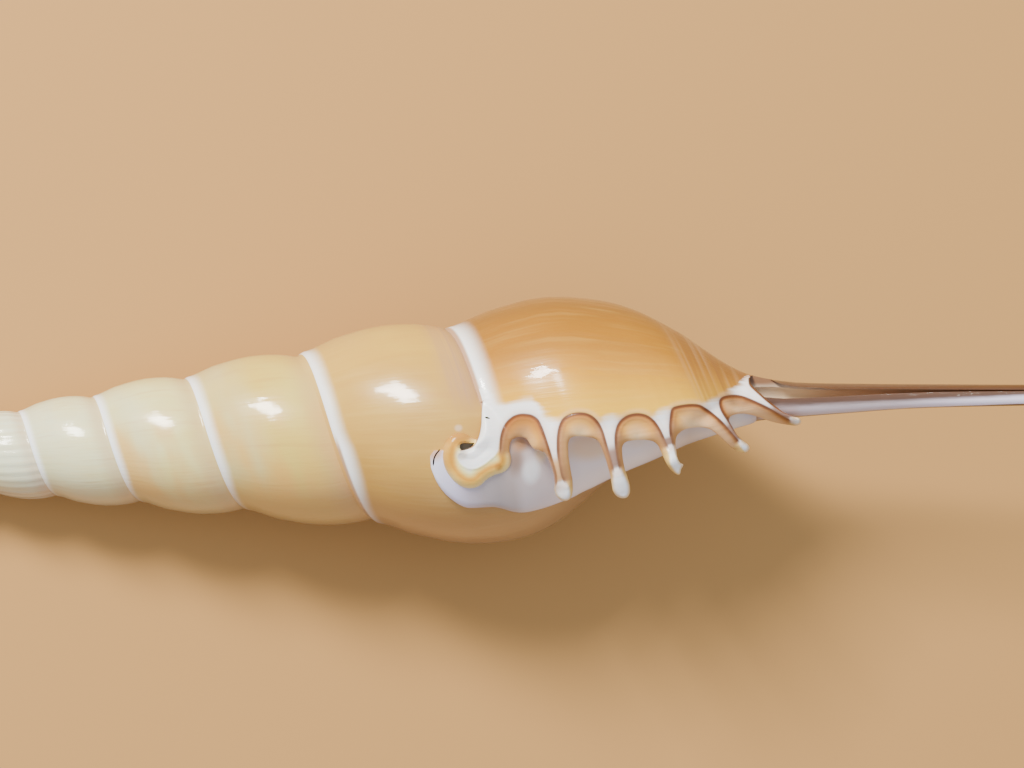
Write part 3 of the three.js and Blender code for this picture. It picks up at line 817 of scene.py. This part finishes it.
# Hollows outlined in the picture: the opening at the canal's start, the dark one in the curl,
# the gap behind the callus and a small chip, each with the heights that it is cut between
cuts = {
    "opening": {
        "outline": [(750.2, 384.5), (749.6, 380), (750.6, 376.6), (753.5, 374.6), (758, 374.6),
                    (766, 377.6), (774, 381), (780, 383.6), (788, 385.6), (799, 386.9),
                    (811, 387.8), (826, 388.8), (840, 390.6), (826, 393), (800, 393.5),
                    (785, 394), (772, 394), (760, 391)],
        "middle": (777, 389.2), "low": 0.3, "high": 7.0, "look": gutterGlaze,
    },
    # the curl, the gap and the chip are lined with painted shade
    "curl": {
        "outline": [(459.6, 446), (461, 443.8), (465, 443), (470, 443.2), (474.4, 442.8),
                    (473, 445.4), (470.5, 447.6), (466.5, 449.6), (462.5, 450.2), (460.2, 449)],
        "middle": (466, 446), "low": 15.5, "high": 20.0, "look": hollowShadeGlaze,
    },
    "gap": {
        "outline": [(439.4, 449.2), (436, 453), (433.6, 457.5), (432.6, 463), (433.5, 466),
                    (434.2, 463.2), (435, 458.2), (437.2, 454), (440, 450.3)],
        "middle": (434.4, 457.8), "low": 14.9, "high": 20.0, "look": hollowShadeGlaze,
    },
    "chip": {
        "outline": [(485, 416.8), (487.5, 416.9), (490, 418.2), (489.6, 418.9), (487, 418.7),
                    (485.2, 417.9)],
        "middle": (487.3, 417.8), "low": 15.3, "high": 20.0, "look": hollowShadeGlaze,
    },
}


def makeCut(name):
    cut = cuts[name]
    loop = rounded(cut["outline"] + cut["outline"][:1], 0.8)
    middle = np.array(cut["middle"]) + 0 * loop
    rings = [onRay(ring, np.full(len(loop), cut[level])) for ring, level in
             ((middle, "low"), (loop, "low"), (loop, "high"), (middle, "high"))]
    return closeUp(layGrid(name, toRow(np.stack(rings, 0))), cut["look"])


shell = makeSpiral()
cutOrJoin(shell, makeHollow(), "DIFFERENCE")
cutOrJoin(shell, makeGroove(), "DIFFERENCE")
cutOrJoin(shell, makeCut("opening"), "DIFFERENCE")
report(shell)
cutOrJoin(shell, makeCallus(), "UNION")
cutOrJoin(shell, makeLip(), "UNION")
for name in ("curl", "gap", "chip"):
    cutOrJoin(shell, makeCut(name), "DIFFERENCE")
report(shell)

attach(shell, "root")
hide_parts("tibia_shell")
only(shell)
bpy.ops.object.shade_smooth_by_angle(angle=math.radians(50))


# Values that Blender keeps for each point, face or corner
def fetch(items, name, wide=1, kind=float):
    values = np.zeros(len(items) * wide, kind)
    items.foreach_get(name, values)
    return values.reshape(-1, wide) if wide > 1 else values


# How far points p stand off the shell's true curve
def offCurve(p):
    radius = np.hypot(p[:, 1] - bowAt(p[:, 0]), p[:, 2])
    return radius - radiusAt((angleOf(p) - spiral["lipAngle"]) / 360, p[:, 0])


# Where the wall goes over into the lip's own piece, the shading follows the shell's true curve:
# start and end in degrees behind the lip's edge with the widths, last place along, how close
# to the curve a point has to be, and the step that the slope is measured over
seam = {"from": (9.5, 3), "to": (26, 4), "lastAlong": 149, "close": 0.04, "step": 0.05}


def smoothSeam(piece):
    mesh = piece.data
    p = fromRow(fetch(mesh.vertices, "co", 3))
    behind = behindLip(p)
    share = rises(behind, *seam["from"]) * falls(behind, *seam["to"])
    share = share * (p[:, 0] > sutureAlong(-behind / 360) + 1) * (p[:, 0] < seam["lastAlong"])
    share[share > 0] *= np.abs(offCurve(p[share > 0])) < seam["close"]
    used = np.flatnonzero(share > 0)
    step = seam["step"]
    slope = turned(np.stack([offCurve(p[used] + step * axis) - offCurve(p[used] - step * axis)
                             for axis in np.eye(3)], -1))
    true = np.zeros((len(p), 3))
    true[used] = slope / np.linalg.norm(slope, axis=1)[:, None]
    loops = fetch(mesh.loops, "vertex_index", kind=int)
    own, true, s = fetch(mesh.corner_normals, "vector", 3), true[loops], share[loops][:, None]
    agrees = (own * true).sum(1)[:, None] > 0.8
    own = np.where(agrees, own * (1 - s) + true * s, own)
    own /= np.linalg.norm(own, axis=1)[:, None]
    mesh.normals_split_custom_set(own.tolist())
    print("seam: true curve on", len(used), "points")


# What the finishes follow: the turn and place across the whorl at each face corner, and the
# distances from the lip's lines, in picture points, at each vertex
def markFields(piece):
    mesh = piece.data
    p = fromRow(fetch(mesh.vertices, "co", 3))
    angle = angleOf(p)
    loops = fetch(mesh.loops, "vertex_index", kind=int)
    total = fetch(mesh.polygons, "loop_total", kind=int)
    kind = fetch(mesh.polygons, "material_index", kind=int)
    face = np.repeat(np.arange(len(total)), total)
    isLip = kind == list(mesh.materials).index(lipGlaze)
    middle = np.zeros((len(total), 3))
    np.add.at(middle, face, p[loops])
    middle /= total[:, None]
    faceAngle = angleOf(middle)
    turn = (faceAngle - spiral["lipAngle"]) / 360
    turn = np.where((turn > 0) & ~isLip, turn - 1, turn)
    for _ in range(18):
        turn = np.where(middle[:, 0] < sutureAlong(turn) - 1e-3, turn - 1, turn)
    step = (angle[loops] - faceAngle[face] + 180) % 360 - 180
    growth = np.maximum(turn[face] + step / 360, -spiral["whorls"])
    start, along = sutureAlong(growth), p[loops, 0]
    across = (along / start - 1) / (spiral["growth"] - 1)
    shoulder = start * spiral["growth"]
    across = np.where(across > 1, 1 + (along - shoulder) / (spiral["bodyEnd"] - shoulder), across)
    for name, values in (("growth", growth), ("across", across)):
        mesh.attributes.new(name, "FLOAT", "CORNER").data.foreach_set("value", values)

    q = toPicture(p)
    left, right, top, bottom = lip["window"]
    close = ((q[:, 0] > left) & (q[:, 0] < right) & (q[:, 1] > top) & (q[:, 1] < bottom)
             & (p[:, 2] > 0))
    dRim, dLine, curl, tip, lined, _ = lipFields(q[close])
    white = q[close, 1] - np.interp(q[close, 0], *np.array(lip["whiteTop"]).T)
    fields = {"around": (angle + 90) % 360 - 90, "along": p[:, 0]}
    for name, far, values in (("rimWay", 60, dRim), ("lineWay", -60, np.clip(dLine, -60, 60)),
                              ("curlWay", 9, np.clip(curl, 0, 9)), ("tip", 0, tip),
                              ("lined", 0, lined), ("whiteWay", -40, np.clip(white, -40, 40))):
        fields[name] = np.full(len(p), float(far))
        fields[name][close] = values
    for name, values in fields.items():
        mesh.attributes.new(name, "FLOAT", "POINT").data.foreach_set("value", values)
    print("fields marked on", len(p), "points,", len(mesh.polygons), "faces")


# Small helpers for the finishes' nodes. Shares are multiplied together.
class Nodes:
    def __init__(self, material):
        material.use_nodes = True
        self.tree = material.node_tree
        self.tree.nodes.clear()
        self.at = 0

    def add(self, kind, **settings):
        node = self.tree.nodes.new(kind)
        self.at += 1
        node.location = (180 * (self.at % 12), -220 * (self.at // 12))
        for name, value in settings.items():
            setattr(node, name, value)
        return node

    def link(self, source, target):
        if isinstance(source, (int, float)):
            target.default_value = source
        elif isinstance(source, tuple):
            target.default_value = linear(source)
        else:
            self.tree.links.new(source, target)

    def field(self, name):
        return self.add("ShaderNodeAttribute", attribute_name=name).outputs["Fac"]

    def spot(self):
        return self.add("ShaderNodeTexCoord").outputs["Object"]

    def math(self, kind, a, b=0.0):
        node = self.add("ShaderNodeMath", operation=kind)
        self.link(a, node.inputs[0])
        self.link(b, node.inputs[1])
        return node.outputs[0]

    def times(self, first, *others):
        for other in others:
            first = self.math("MULTIPLY", first, other)
        return first

    def plus(self, a, b):
        return self.math("ADD", a, b)

    def minus(self, a, b):
        return self.math("SUBTRACT", a, b)

    def flip(self, x):
        return self.minus(1.0, x)

    def vectorMath(self, kind, a, b=(0, 0, 0)):
        node = self.add("ShaderNodeVectorMath", operation=kind)
        self.link(a, node.inputs[0])
        node.inputs[1].default_value = b
        return node.outputs["Value" if kind == "LENGTH" else "Vector"]

    def scaled(self, x, low, high, kind="LINEAR"):
        node = self.add("ShaderNodeMapRange", interpolation_type=kind)
        for value, name in ((x, "Value"), (low, "From Min"), (high, "From Max")):
            self.link(value, node.inputs[name])
        return node.outputs["Result"]

    def step(self, x, low, high):
        return self.scaled(x, low, high, "SMOOTHSTEP")

    def band(self, x, a, b, c, d):
        return self.times(self.step(x, a, b), self.flip(self.step(x, c, d)))

    def ramp(self, x, low, high, stops):
        node = self.add("ShaderNodeValToRGB")
        self.link(self.scaled(x, low, high), node.inputs["Fac"])
        ramp = node.color_ramp
        while len(ramp.elements) < len(stops):
            ramp.elements.new(0.5)
        for element, (at, colour) in zip(ramp.elements, stops):
            element.position = (at - low) / (high - low)
            element.color = linear(colour)
        return node.outputs["Color"]

    def mix(self, a, b, *shares):
        node = self.add("ShaderNodeMix", data_type="RGBA", clamp_factor=True)
        self.link(self.times(*shares), node.inputs[0])
        self.link(a, node.inputs[6])
        self.link(b, node.inputs[7])
        return node.outputs[2]

    def noise(self, vector, scale, detail=2.0, rough=0.5):
        node = self.add("ShaderNodeTexNoise")
        self.link(vector, node.inputs["Vector"])
        node.inputs["Scale"].default_value = scale
        node.inputs["Detail"].default_value = detail
        node.inputs["Roughness"].default_value = rough
        return node.outputs["Fac"]

    def streaks(self, x, y, detail=2.0, rough=0.5):
        node = self.add("ShaderNodeCombineXYZ")
        self.link(x, node.inputs[0])
        self.link(y, node.inputs[1])
        return self.noise(node.outputs[0], 1.0, detail, rough)


# 0-255 screen colour to the linear one that nodes take
def linear(colour):
    parts = [c / 255 for c in colour]
    return tuple(c / 12.92 if c <= 0.04045 else ((c + 0.055) / 1.055) ** 2.4
                 for c in parts) + (1.0,)


shellLook = {
    "growth": [(-8, (224, 230, 220)), (-5, (222, 223, 186)), (-4.2, (223, 219, 168)),
               (-3.3, (224, 215, 148)), (-2.5, (217, 195, 104)), (-1.9, (212, 180, 76)),
               (-1.4, (210, 174, 74)), (-1.02, (198, 153, 62)), (-.6, (158, 108, 34)),
               (-.2, (132, 86, 20)), (-.1, (168, 112, 24)), (-.055, (204, 142, 30)),
               (0, (238, 182, 42))],
    "band": (251, 252, 249), "margin": (247, 244, 240), "line": (94, 50, 25),
    "bevel": [(0, (110, 60, 32)), (2.5, (160, 100, 46)), (5, (204, 140, 64)),
              (9, (230, 168, 78)), (14, (246, 192, 122)), (19, (252, 208, 146)),
              (24, (255, 216, 164))],
    "curl": [(0, (250, 228, 160)), (3, (252, 216, 130)), (5.5, (250, 198, 86)),
             (8.5, (230, 160, 46)), (10.5, (244, 180, 68)), (13, (254, 218, 124)),
             (16, (255, 244, 176)), (20, (255, 250, 222))],
    "nub": (252, 252, 248), "nubSide": (242, 204, 120),
    # callus, along the shell; the darker stops from 109 to 116 are painted shade in the shelter of
    # the curl
    "callus": [(104, (222, 222, 240)), (107, (214, 206, 228)), (109, (200, 186, 194)),
               (111, (184, 170, 168)), (113, (174, 160, 156)), (115, (188, 170, 162)),
               (116.5, (214, 198, 194)), (119, (226, 208, 204)), (121.5, (240, 222, 216)),
               (124.5, (254, 236, 228)), (133, (252, 234, 224)), (137, (240, 216, 200)),
               (140, (226, 200, 178)), (143, (240, 220, 206)), (147, (246, 230, 214)),
               (149.5, (214, 198, 196))],
    "inside": (214, 176, 146),
    "brown": (84, 52, 26), "pink": (76, 54, 41), "columella": (206, 188, 190),
    "gutter": [(148.5, (255, 240, 216)), (151, (224, 206, 182)), (152.9, (204, 184, 156)),
               (155.7, (204, 180, 148)), (159.3, (184, 154, 124)), (164.5, (166, 132, 102)),
               (182, (112, 72, 44))],
    # painted shade for the insides of deep hollows
    "dark": (146, 130, 104),
    # soft patches of another colour: picture point, height, size each way, colour, share
    "patches": {
        "outside": [((458.5, 428), 16.0, (0.75, 0.65, 2.0), (224, 202, 184), 0.42)],
        "bevel": [((526, 424), 14.0, (6.0, 3.4, 6.0), (158, 90, 32), 0.6),
                  ((641, 427), 11.0, (4.2, 2.6, 8.0), (190, 124, 54), 0.4),
                  ((740, 400), 6.0, (3.0, 1.6, 8.0), (120, 78, 40), 0.6)],
        "curl": [((446.5, 452), 16.0, (1.9, 4.2, 8.0), (190, 130, 28), 0.75),
                 ((459, 437), 16.0, (3.2, 1.6, 8.0), (190, 130, 36), 0.85),
                 ((497, 467), 14.0, (0.8, 0.7, 8.0), (176, 110, 40), 0.6)],
        "lip": [((460, 436), 16.0, (2.6, 0.8, 8.0), (170, 112, 44), 0.6),
                # greyer beside the pit: painted shade
                ((461, 455), 16.0, (1.2, 1.0, 8.0), (196, 182, 160), 0.7)],
        # painted shade, duller and browner, in the shelter of the lip; a painted highlight beside
        # it; paler tan under the second and third arches, painted light let through the lip
        "callus": [((513, 459), 11.5, (1.9, 3.4, 6.0), (138, 104, 80), 0.85),
                   ((518, 444), 12.0, (2.5, 1.7, 6.0), (184, 132, 82), 0.85),
                   ((530, 470), 11.5, (1.9, 2.6, 3.5), (255, 255, 255), 0.95),
                   ((540, 450), 11.0, (1.4, 2.4, 6.0), (255, 226, 180), 0.8),
                   ((592, 446), 8.0, (5.5, 2.8, 5.0), (255, 216, 170), 0.85),
                   ((642, 442), 8.0, (3.4, 1.6, 5.0), (255, 226, 196), 0.7),
                   ((434, 451), 15.5, (1.6, 1.9, 9.0), (206, 160, 132), 0.9)],
        # painted shade in the upper corner of the opening at the canal's start
        "gutter": [((765, 377.5), 1.5, (5.6, 1.7, 20.0), (122, 82, 48), 0.97)],
    },
}


def patches(n, colour, name):
    for at, height, size, other, share in shellLook["patches"][name]:
        centre = toRow(onRay(np.array([at], float), np.array([height])))[0]
        away = n.vectorMath("SUBTRACT", n.spot(), tuple(centre))
        away = n.vectorMath("MULTIPLY", away, tuple(1000 / v for v in size))
        near = n.flip(n.step(n.vectorMath("LENGTH", away), 0.35, 1.0))
        colour = n.mix(colour, other, near, share)
    return colour


# Outside: cream to orange tan with the growth, white bands, streaks along the growth lines
def outsideColour(n):
    growth, across, around = n.field("growth"), n.field("across"), n.field("around")
    fine = n.streaks(n.times(growth, 60), across, 3.0, 0.6)
    broad = n.streaks(n.times(growth, 9), n.times(across, 1.5))
    moved = n.times(growth, n.plus(n.times(broad, 0.5), 0.75))
    colour = n.ramp(moved, -8, 0, shellLook["growth"])
    onBase = n.band(across, 1.08, 1.36, 1.97, 2.0)
    plain = n.flip(onBase)
    # lower sides, turned down to the floor, where shade is painted
    under = n.step(around, 106, 158)
    colour = n.mix(colour, (230, 190, 100), n.step(fine, 0.5, 0.72), plain, 0.15)
    colour = n.mix(colour, (190, 132, 66), n.flip(n.step(fine, 0.28, 0.46)), plain, 0.22)
    # middle whorls: bluish grey near the suture, yellow orange further down
    middle = n.band(growth, -5.2, -4.0, -1.6, -1.05)
    cloud = n.streaks(n.times(growth, 4.2), n.times(across, 2.6))
    colour = n.mix(colour, (196, 204, 188), n.band(across, -0.1, 0, 0.3, 0.56),
                   n.step(cloud, 0.2, 0.76), n.flip(under), middle, 0.3)
    colour = n.mix(colour, (222, 164, 72), n.band(around, 52, 86, 134, 158),
                   n.step(cloud, 0.66, 0.4), n.step(growth, -3.5, -2.9), middle, 0.65)
    # painted shade and painted floor bounce: browner where the whorls turn down to the floor
    colour = n.mix(colour, (178, 138, 110), under, 0.55)
    # pinkish brown just before the next suture, widest on the last whorl but one: a band of the
    # shell's own colour, and painted shade in the suture's crease
    early = n.flip(n.step(growth, -1.06, -1.0))
    colour = n.mix(colour, (196, 146, 108), n.band(across, 0.74, 0.94, 1.0, 1.02), early, 0.36)
    lines = n.streaks(n.times(across, 34), growth, 2.0, 0.6)
    colour = n.mix(colour, (172, 132, 104), n.band(across, 0.76, 0.92, 1.0, 1.02), early,
                   n.step(growth, -1.5, -1.2), n.step(lines, 0.3, 0.6), 0.6)
    # spiral streaks over the base
    lines = n.streaks(n.times(across, 11), n.times(growth, 1.2), 2.5, 0.55)
    colour = n.mix(colour, (234, 190, 146), n.step(lines, 0.46, 0.72), onBase, 0.5)
    colour = n.mix(colour, (146, 92, 56), n.flip(n.step(lines, 0.3, 0.54)), onBase, 0.6)
    colour = n.mix(colour, (110, 72, 50), onBase, 0.3)
    # white band under the suture, set off a little on the body whorl, narrower on the lower sides
    # and fainter there, where part of the painted shade shows through
    last = n.step(growth, -1.0, -0.96)
    rise = n.times(last, n.flip(n.step(across, 0.012, 0.03)))
    colour = n.mix(colour, (190, 156, 132), rise, 0.8)
    edge = n.plus(across, n.times(n.minus(fine, 0.5), 0.012))
    edge = n.minus(n.plus(edge, n.times(under, 0.045)), n.times(last, 0.02))
    colour = n.mix(colour, shellLook["band"], n.flip(n.step(edge, 0.005, 0.115)),
                   n.flip(rise), n.flip(n.times(under, 0.35)))
    return colour, growth, across, fine


# Canal: pinkish brown above, blue white below, brown along the slit and the lower edge
def canalColour(n, colour):
    along, around = n.field("along"), n.field("around")
    grain = n.streaks(n.times(along, 0.25), n.times(around, 0.08), 2.0, 0.6)
    moved = n.plus(around, n.times(n.minus(grain, 0.5), 10))
    moved = n.plus(moved, n.times(n.step(along, 166, 205), 34))
    wall = n.mix(shellLook["pink"], (102, 74, 56), grain, 0.8)
    pale = n.mix(shellLook["columella"], (236, 224, 240), n.step(along, 166, 182))
    canal = n.mix(wall, pale, n.band(moved, 96, 128, 158, 172))
    edge = n.math("MAXIMUM", n.band(moved, 34, 44, 84, 116), n.band(moved, 158, 168, 200, 214))
    canal = n.mix(canal, shellLook["brown"], edge, 0.9)
    return n.mix(colour, canal, n.step(along, 148.4, 150.6))


# Growth lines everywhere, and ribs on the early whorls
def growthBump(n, growth, across):
    ribs = n.math("SINE", n.times(growth, 6.2832 * 30))
    early = n.flip(n.step(growth, -5.6, -3.6))
    lines = n.streaks(n.times(growth, 140), n.times(across, 2), 3.0, 0.6)
    return n.plus(n.times(ribs, early, 0.5), n.times(lines, 0.5))


# Glazed shell: rough gives the least roughness, what it varies with and by how much
def finish(n, colour, rough, bump, coat=0.35, coatRough=0.06, height=0.00006):
    shader = n.add("ShaderNodeBsdfPrincipled")
    fixed = {"IOR": 1.53, "Specular IOR Level": 0.28, "Coat Weight": coat,
             "Coat Roughness": coatRough, "Subsurface Weight": 0.12,
             "Subsurface Radius": (1.0, 0.6, 0.4), "Subsurface Scale": 0.0008}
    for name, value in fixed.items():
        shader.inputs[name].default_value = value
    least, grain, more = rough
    n.link(colour, shader.inputs["Base Color"])
    n.link(n.plus(least, n.times(grain, more)), shader.inputs["Roughness"])
    if bump is not None:
        node = n.add("ShaderNodeBump")
        node.inputs["Strength"].default_value = 0.6
        node.inputs["Distance"].default_value = height
        n.link(bump, node.inputs["Height"])
        n.link(node.outputs["Normal"], shader.inputs["Normal"])
        n.link(node.outputs["Normal"], shader.inputs["Coat Normal"])
    out = n.add("ShaderNodeOutputMaterial")
    n.link(shader.outputs[0], out.inputs["Surface"])


def makeOutside():
    n = Nodes(outerGlaze)
    colour, growth, across, fine = outsideColour(n)
    colour = patches(n, canalColour(n, colour), "outside")
    finish(n, colour, (0.24, fine, 0.16), growthBump(n, growth, across), 0.7, 0.02, 0.00012)


def makeLipLook():
    n = Nodes(lipGlaze)
    colour, growth, across, fine = outsideColour(n)
    lineWay, rimWay, lined = n.field("lineWay"), n.field("rimWay"), n.field("lined")
    tip, along = n.field("tip"), n.field("along")
    grain = n.minus(fine, 0.5)
    white = n.step(n.plus(n.field("whiteWay"), n.times(grain, 24)), -8, 4)
    colour = n.mix(colour, shellLook["margin"], white)
    # the outside turns pinkish next to the line
    colour = n.mix(colour, (232, 190, 160), n.band(lineWay, -7, -2, 3, 4), lined, 0.3)
    # bevel under the arches, duller where it is narrow and paler near the canal
    bevel = n.ramp(n.plus(lineWay, n.times(grain, 4)), 0, 24, shellLook["bevel"])
    narrow = n.flip(n.step(n.plus(lineWay, rimWay), 12, 20))
    far = n.step(along, 137, 142)
    bevel = n.mix(bevel, (176, 134, 98), narrow, n.minus(0.55, n.times(far, 0.45)))
    bevel = n.mix(bevel, (224, 186, 152), far, 0.4, n.step(lineWay, 2, 7))
    beyond = n.math("MAXIMUM", n.times(n.step(lineWay, -0.5, 0.4), lined),
                    n.step(lineWay, 0.9, 1.8))
    colour = n.mix(colour, patches(n, bevel, "bevel"), beyond)
    # the white runs out down the fingers, where the line is weaker too
    strip = n.mix((222, 168, 104), (156, 118, 98), n.step(along, 122, 126))
    colour = n.mix(colour, strip, n.band(tip, -1.35, -0.8, -0.15, 0.25),
                   n.flip(n.step(lineWay, -0.4, 1.2)), 0.92)
    weaker = n.minus(0.72, n.times(n.step(tip, -1.5, -0.8), 0.5))
    colour = n.mix(colour, shellLook["line"], n.band(lineWay, -1.3, 0.0, 1.4, 3.4), lined, weaker)
    side = n.math("MAXIMUM", n.step(lineWay, 0.5, 3.5),
                  n.times(n.flip(n.step(rimWay, 0.6, 3.0)), 0.6))
    nub = n.mix(shellLook["nub"], shellLook["nubSide"], side)
    nub = n.mix(nub, (176, 124, 78), n.band(tip, 0, 0.2, 0.6, 1.3), 0.45)
    colour = n.mix(colour, nub, n.step(tip, 0.0, 0.6))
    curled = patches(n, n.ramp(rimWay, 0, 19, shellLook["curl"]), "curl")
    colour = n.mix(colour, curled, n.flip(n.step(n.field("curlWay"), 1.25, 1.45)),
                   n.step(lineWay, -1.6, 0.8), n.flip(lined))
    colour = patches(n, colour, "lip")
    finish(n, colour, (0.26, fine, 0.14), growthBump(n, growth, across), 0.14, 0.14, 0.0002)


def makeInside():
    n = Nodes(innerGlaze)
    cloud = n.noise(n.spot(), 160)
    colour = n.mix(shellLook["inside"], (230, 200, 170), cloud)
    # darker brown on the wall seen through the opening at the canal's start: painted shade in the
    # hollow
    colour = n.mix(colour, (146, 98, 54), n.band(n.field("along"), 140, 147, 158, 166), 0.7)
    finish(n, colour, (0.16, cloud, 0.08), cloud, 0.4)


def makeCallusLook():
    n = Nodes(callusGlaze)
    cloud = n.noise(n.spot(), 90)
    along = n.plus(n.field("along"), n.times(cloud, 1.5))
    # callus colour along the shell with painted shade in the shelter of the curl; its patches add
    # painted shade, a painted highlight and painted light
    colour = patches(n, n.ramp(along, 104, 150, shellLook["callus"]), "callus")
    finish(n, colour, (0.12, cloud, 0.08), cloud, 0.5)


# Canal's inside: deep brown at its start, painted shade in the opening there, cream along the
# gutter, brown where it closes, with painted shadow under the slit's upper wall
def makeGutterLook():
    n = Nodes(gutterGlaze)
    cloud = n.noise(n.spot(), 200)
    along = n.plus(n.field("along"), cloud)
    colour = n.ramp(along, 148, 183, shellLook["gutter"])
    # painted shade deep in the opening at the canal's start
    colour = n.mix(colour, (148, 98, 56), n.flip(n.step(along, 147.8, 149.2)))
    # painted shadow under the slit's upper wall
    colour = n.mix(colour, (150, 116, 80), n.flip(n.step(n.field("around"), 30, 52)),
                   n.flip(n.step(along, 160, 170)), 0.42)
    colour = patches(n, colour, "gutter")
    finish(n, colour, (0.3, cloud, 0.1), cloud, 0.2, 0.2)


# Painted shade inside the curl's pit, the gap behind the callus and the small chip, greyish brown
def makeHollowShadeLook():
    n = Nodes(hollowShadeGlaze)
    cloud = n.noise(n.spot(), 300)
    colour = n.mix(shellLook["dark"], (110, 94, 72), cloud)
    finish(n, colour, (0.5, cloud, 0.2), None, 0.0)


makeGutterLook()
makeHollowShadeLook()
makeOutside()
makeLipLook()
makeInside()
makeCallusLook()
markFields(shell)
smoothSeam(shell)
print("finishes made")

# Camera where the picture was taken from
camera = bpy.data.objects.new("camera", bpy.data.cameras.new("camera"))
bpy.context.collection.objects.link(camera)
axes = Matrix(np.stack([turned(viewR), turned(viewU), turned(viewN)], 1).tolist())
camera.matrix_world = Matrix.Translation(Vector(toRow(viewC))) @ axes.to_4x4()
camera.data.sensor_width = 36
camera.data.lens = camera.data.sensor_width * picture["focal"] / picture["wide"]
bpy.context.scene.camera = camera

# Pale floor, a soft box from the upper left and a soft room, brighter overhead than at the sides
room = {
    "floor": (180, 133, 71), "floorHeight": -0.00018, "floorSize": 6, "floorRough": 0.75,
    "boxAt": (-.33, .47, .54), "boxAim": (.03, 0, .015), "boxSize": (.17, .28),
    "boxPower": 14.3, "boxColour": (1, .96, .89),
    "roomColour": (.81, .88, 1.02, 1), "overhead": 1.35, "low": .42,
}
bpy.ops.object.select_all(action="DESELECT")
bpy.ops.mesh.primitive_plane_add(size=room["floorSize"], location=(0, 0, room["floorHeight"]))
floor = bpy.context.object
floor.name = "floor"
floorLook = bpy.data.materials.new("floor")
floorLook.use_nodes = True
floorShader = floorLook.node_tree.nodes["Principled BSDF"]
floorShader.inputs["Base Color"].default_value = linear(room["floor"])
floorShader.inputs["Roughness"].default_value = room["floorRough"]
floor.data.materials.append(floorLook)
bpy.ops.object.light_add(type="AREA", location=room["boxAt"])
softBox = bpy.context.object
softBox.data.shape = "RECTANGLE"
softBox.data.size, softBox.data.size_y = room["boxSize"]
softBox.data.energy = room["boxPower"]
softBox.data.color = room["boxColour"]
aim = Vector(room["boxAim"]) - Vector(room["boxAt"])
softBox.rotation_euler = aim.to_track_quat("-Z", "Y").to_euler()
world = bpy.data.worlds.new("room")
bpy.context.scene.world = world
world.use_nodes = True
nodes, links = world.node_tree.nodes, world.node_tree.links
direction, split, fade = [nodes.new("ShaderNode" + kind) for kind in
                          ("TexCoord", "SeparateXYZ", "MapRange")]
fade.inputs["To Min"].default_value = room["low"]
fade.inputs["To Max"].default_value = room["overhead"]
nodes["Background"].inputs["Color"].default_value = room["roomColour"]
links.new(direction.outputs["Generated"], split.inputs[0])
links.new(split.outputs["Z"], fade.inputs["Value"])
links.new(fade.outputs["Result"], nodes["Background"].inputs["Strength"])
print("floor, light and camera set")
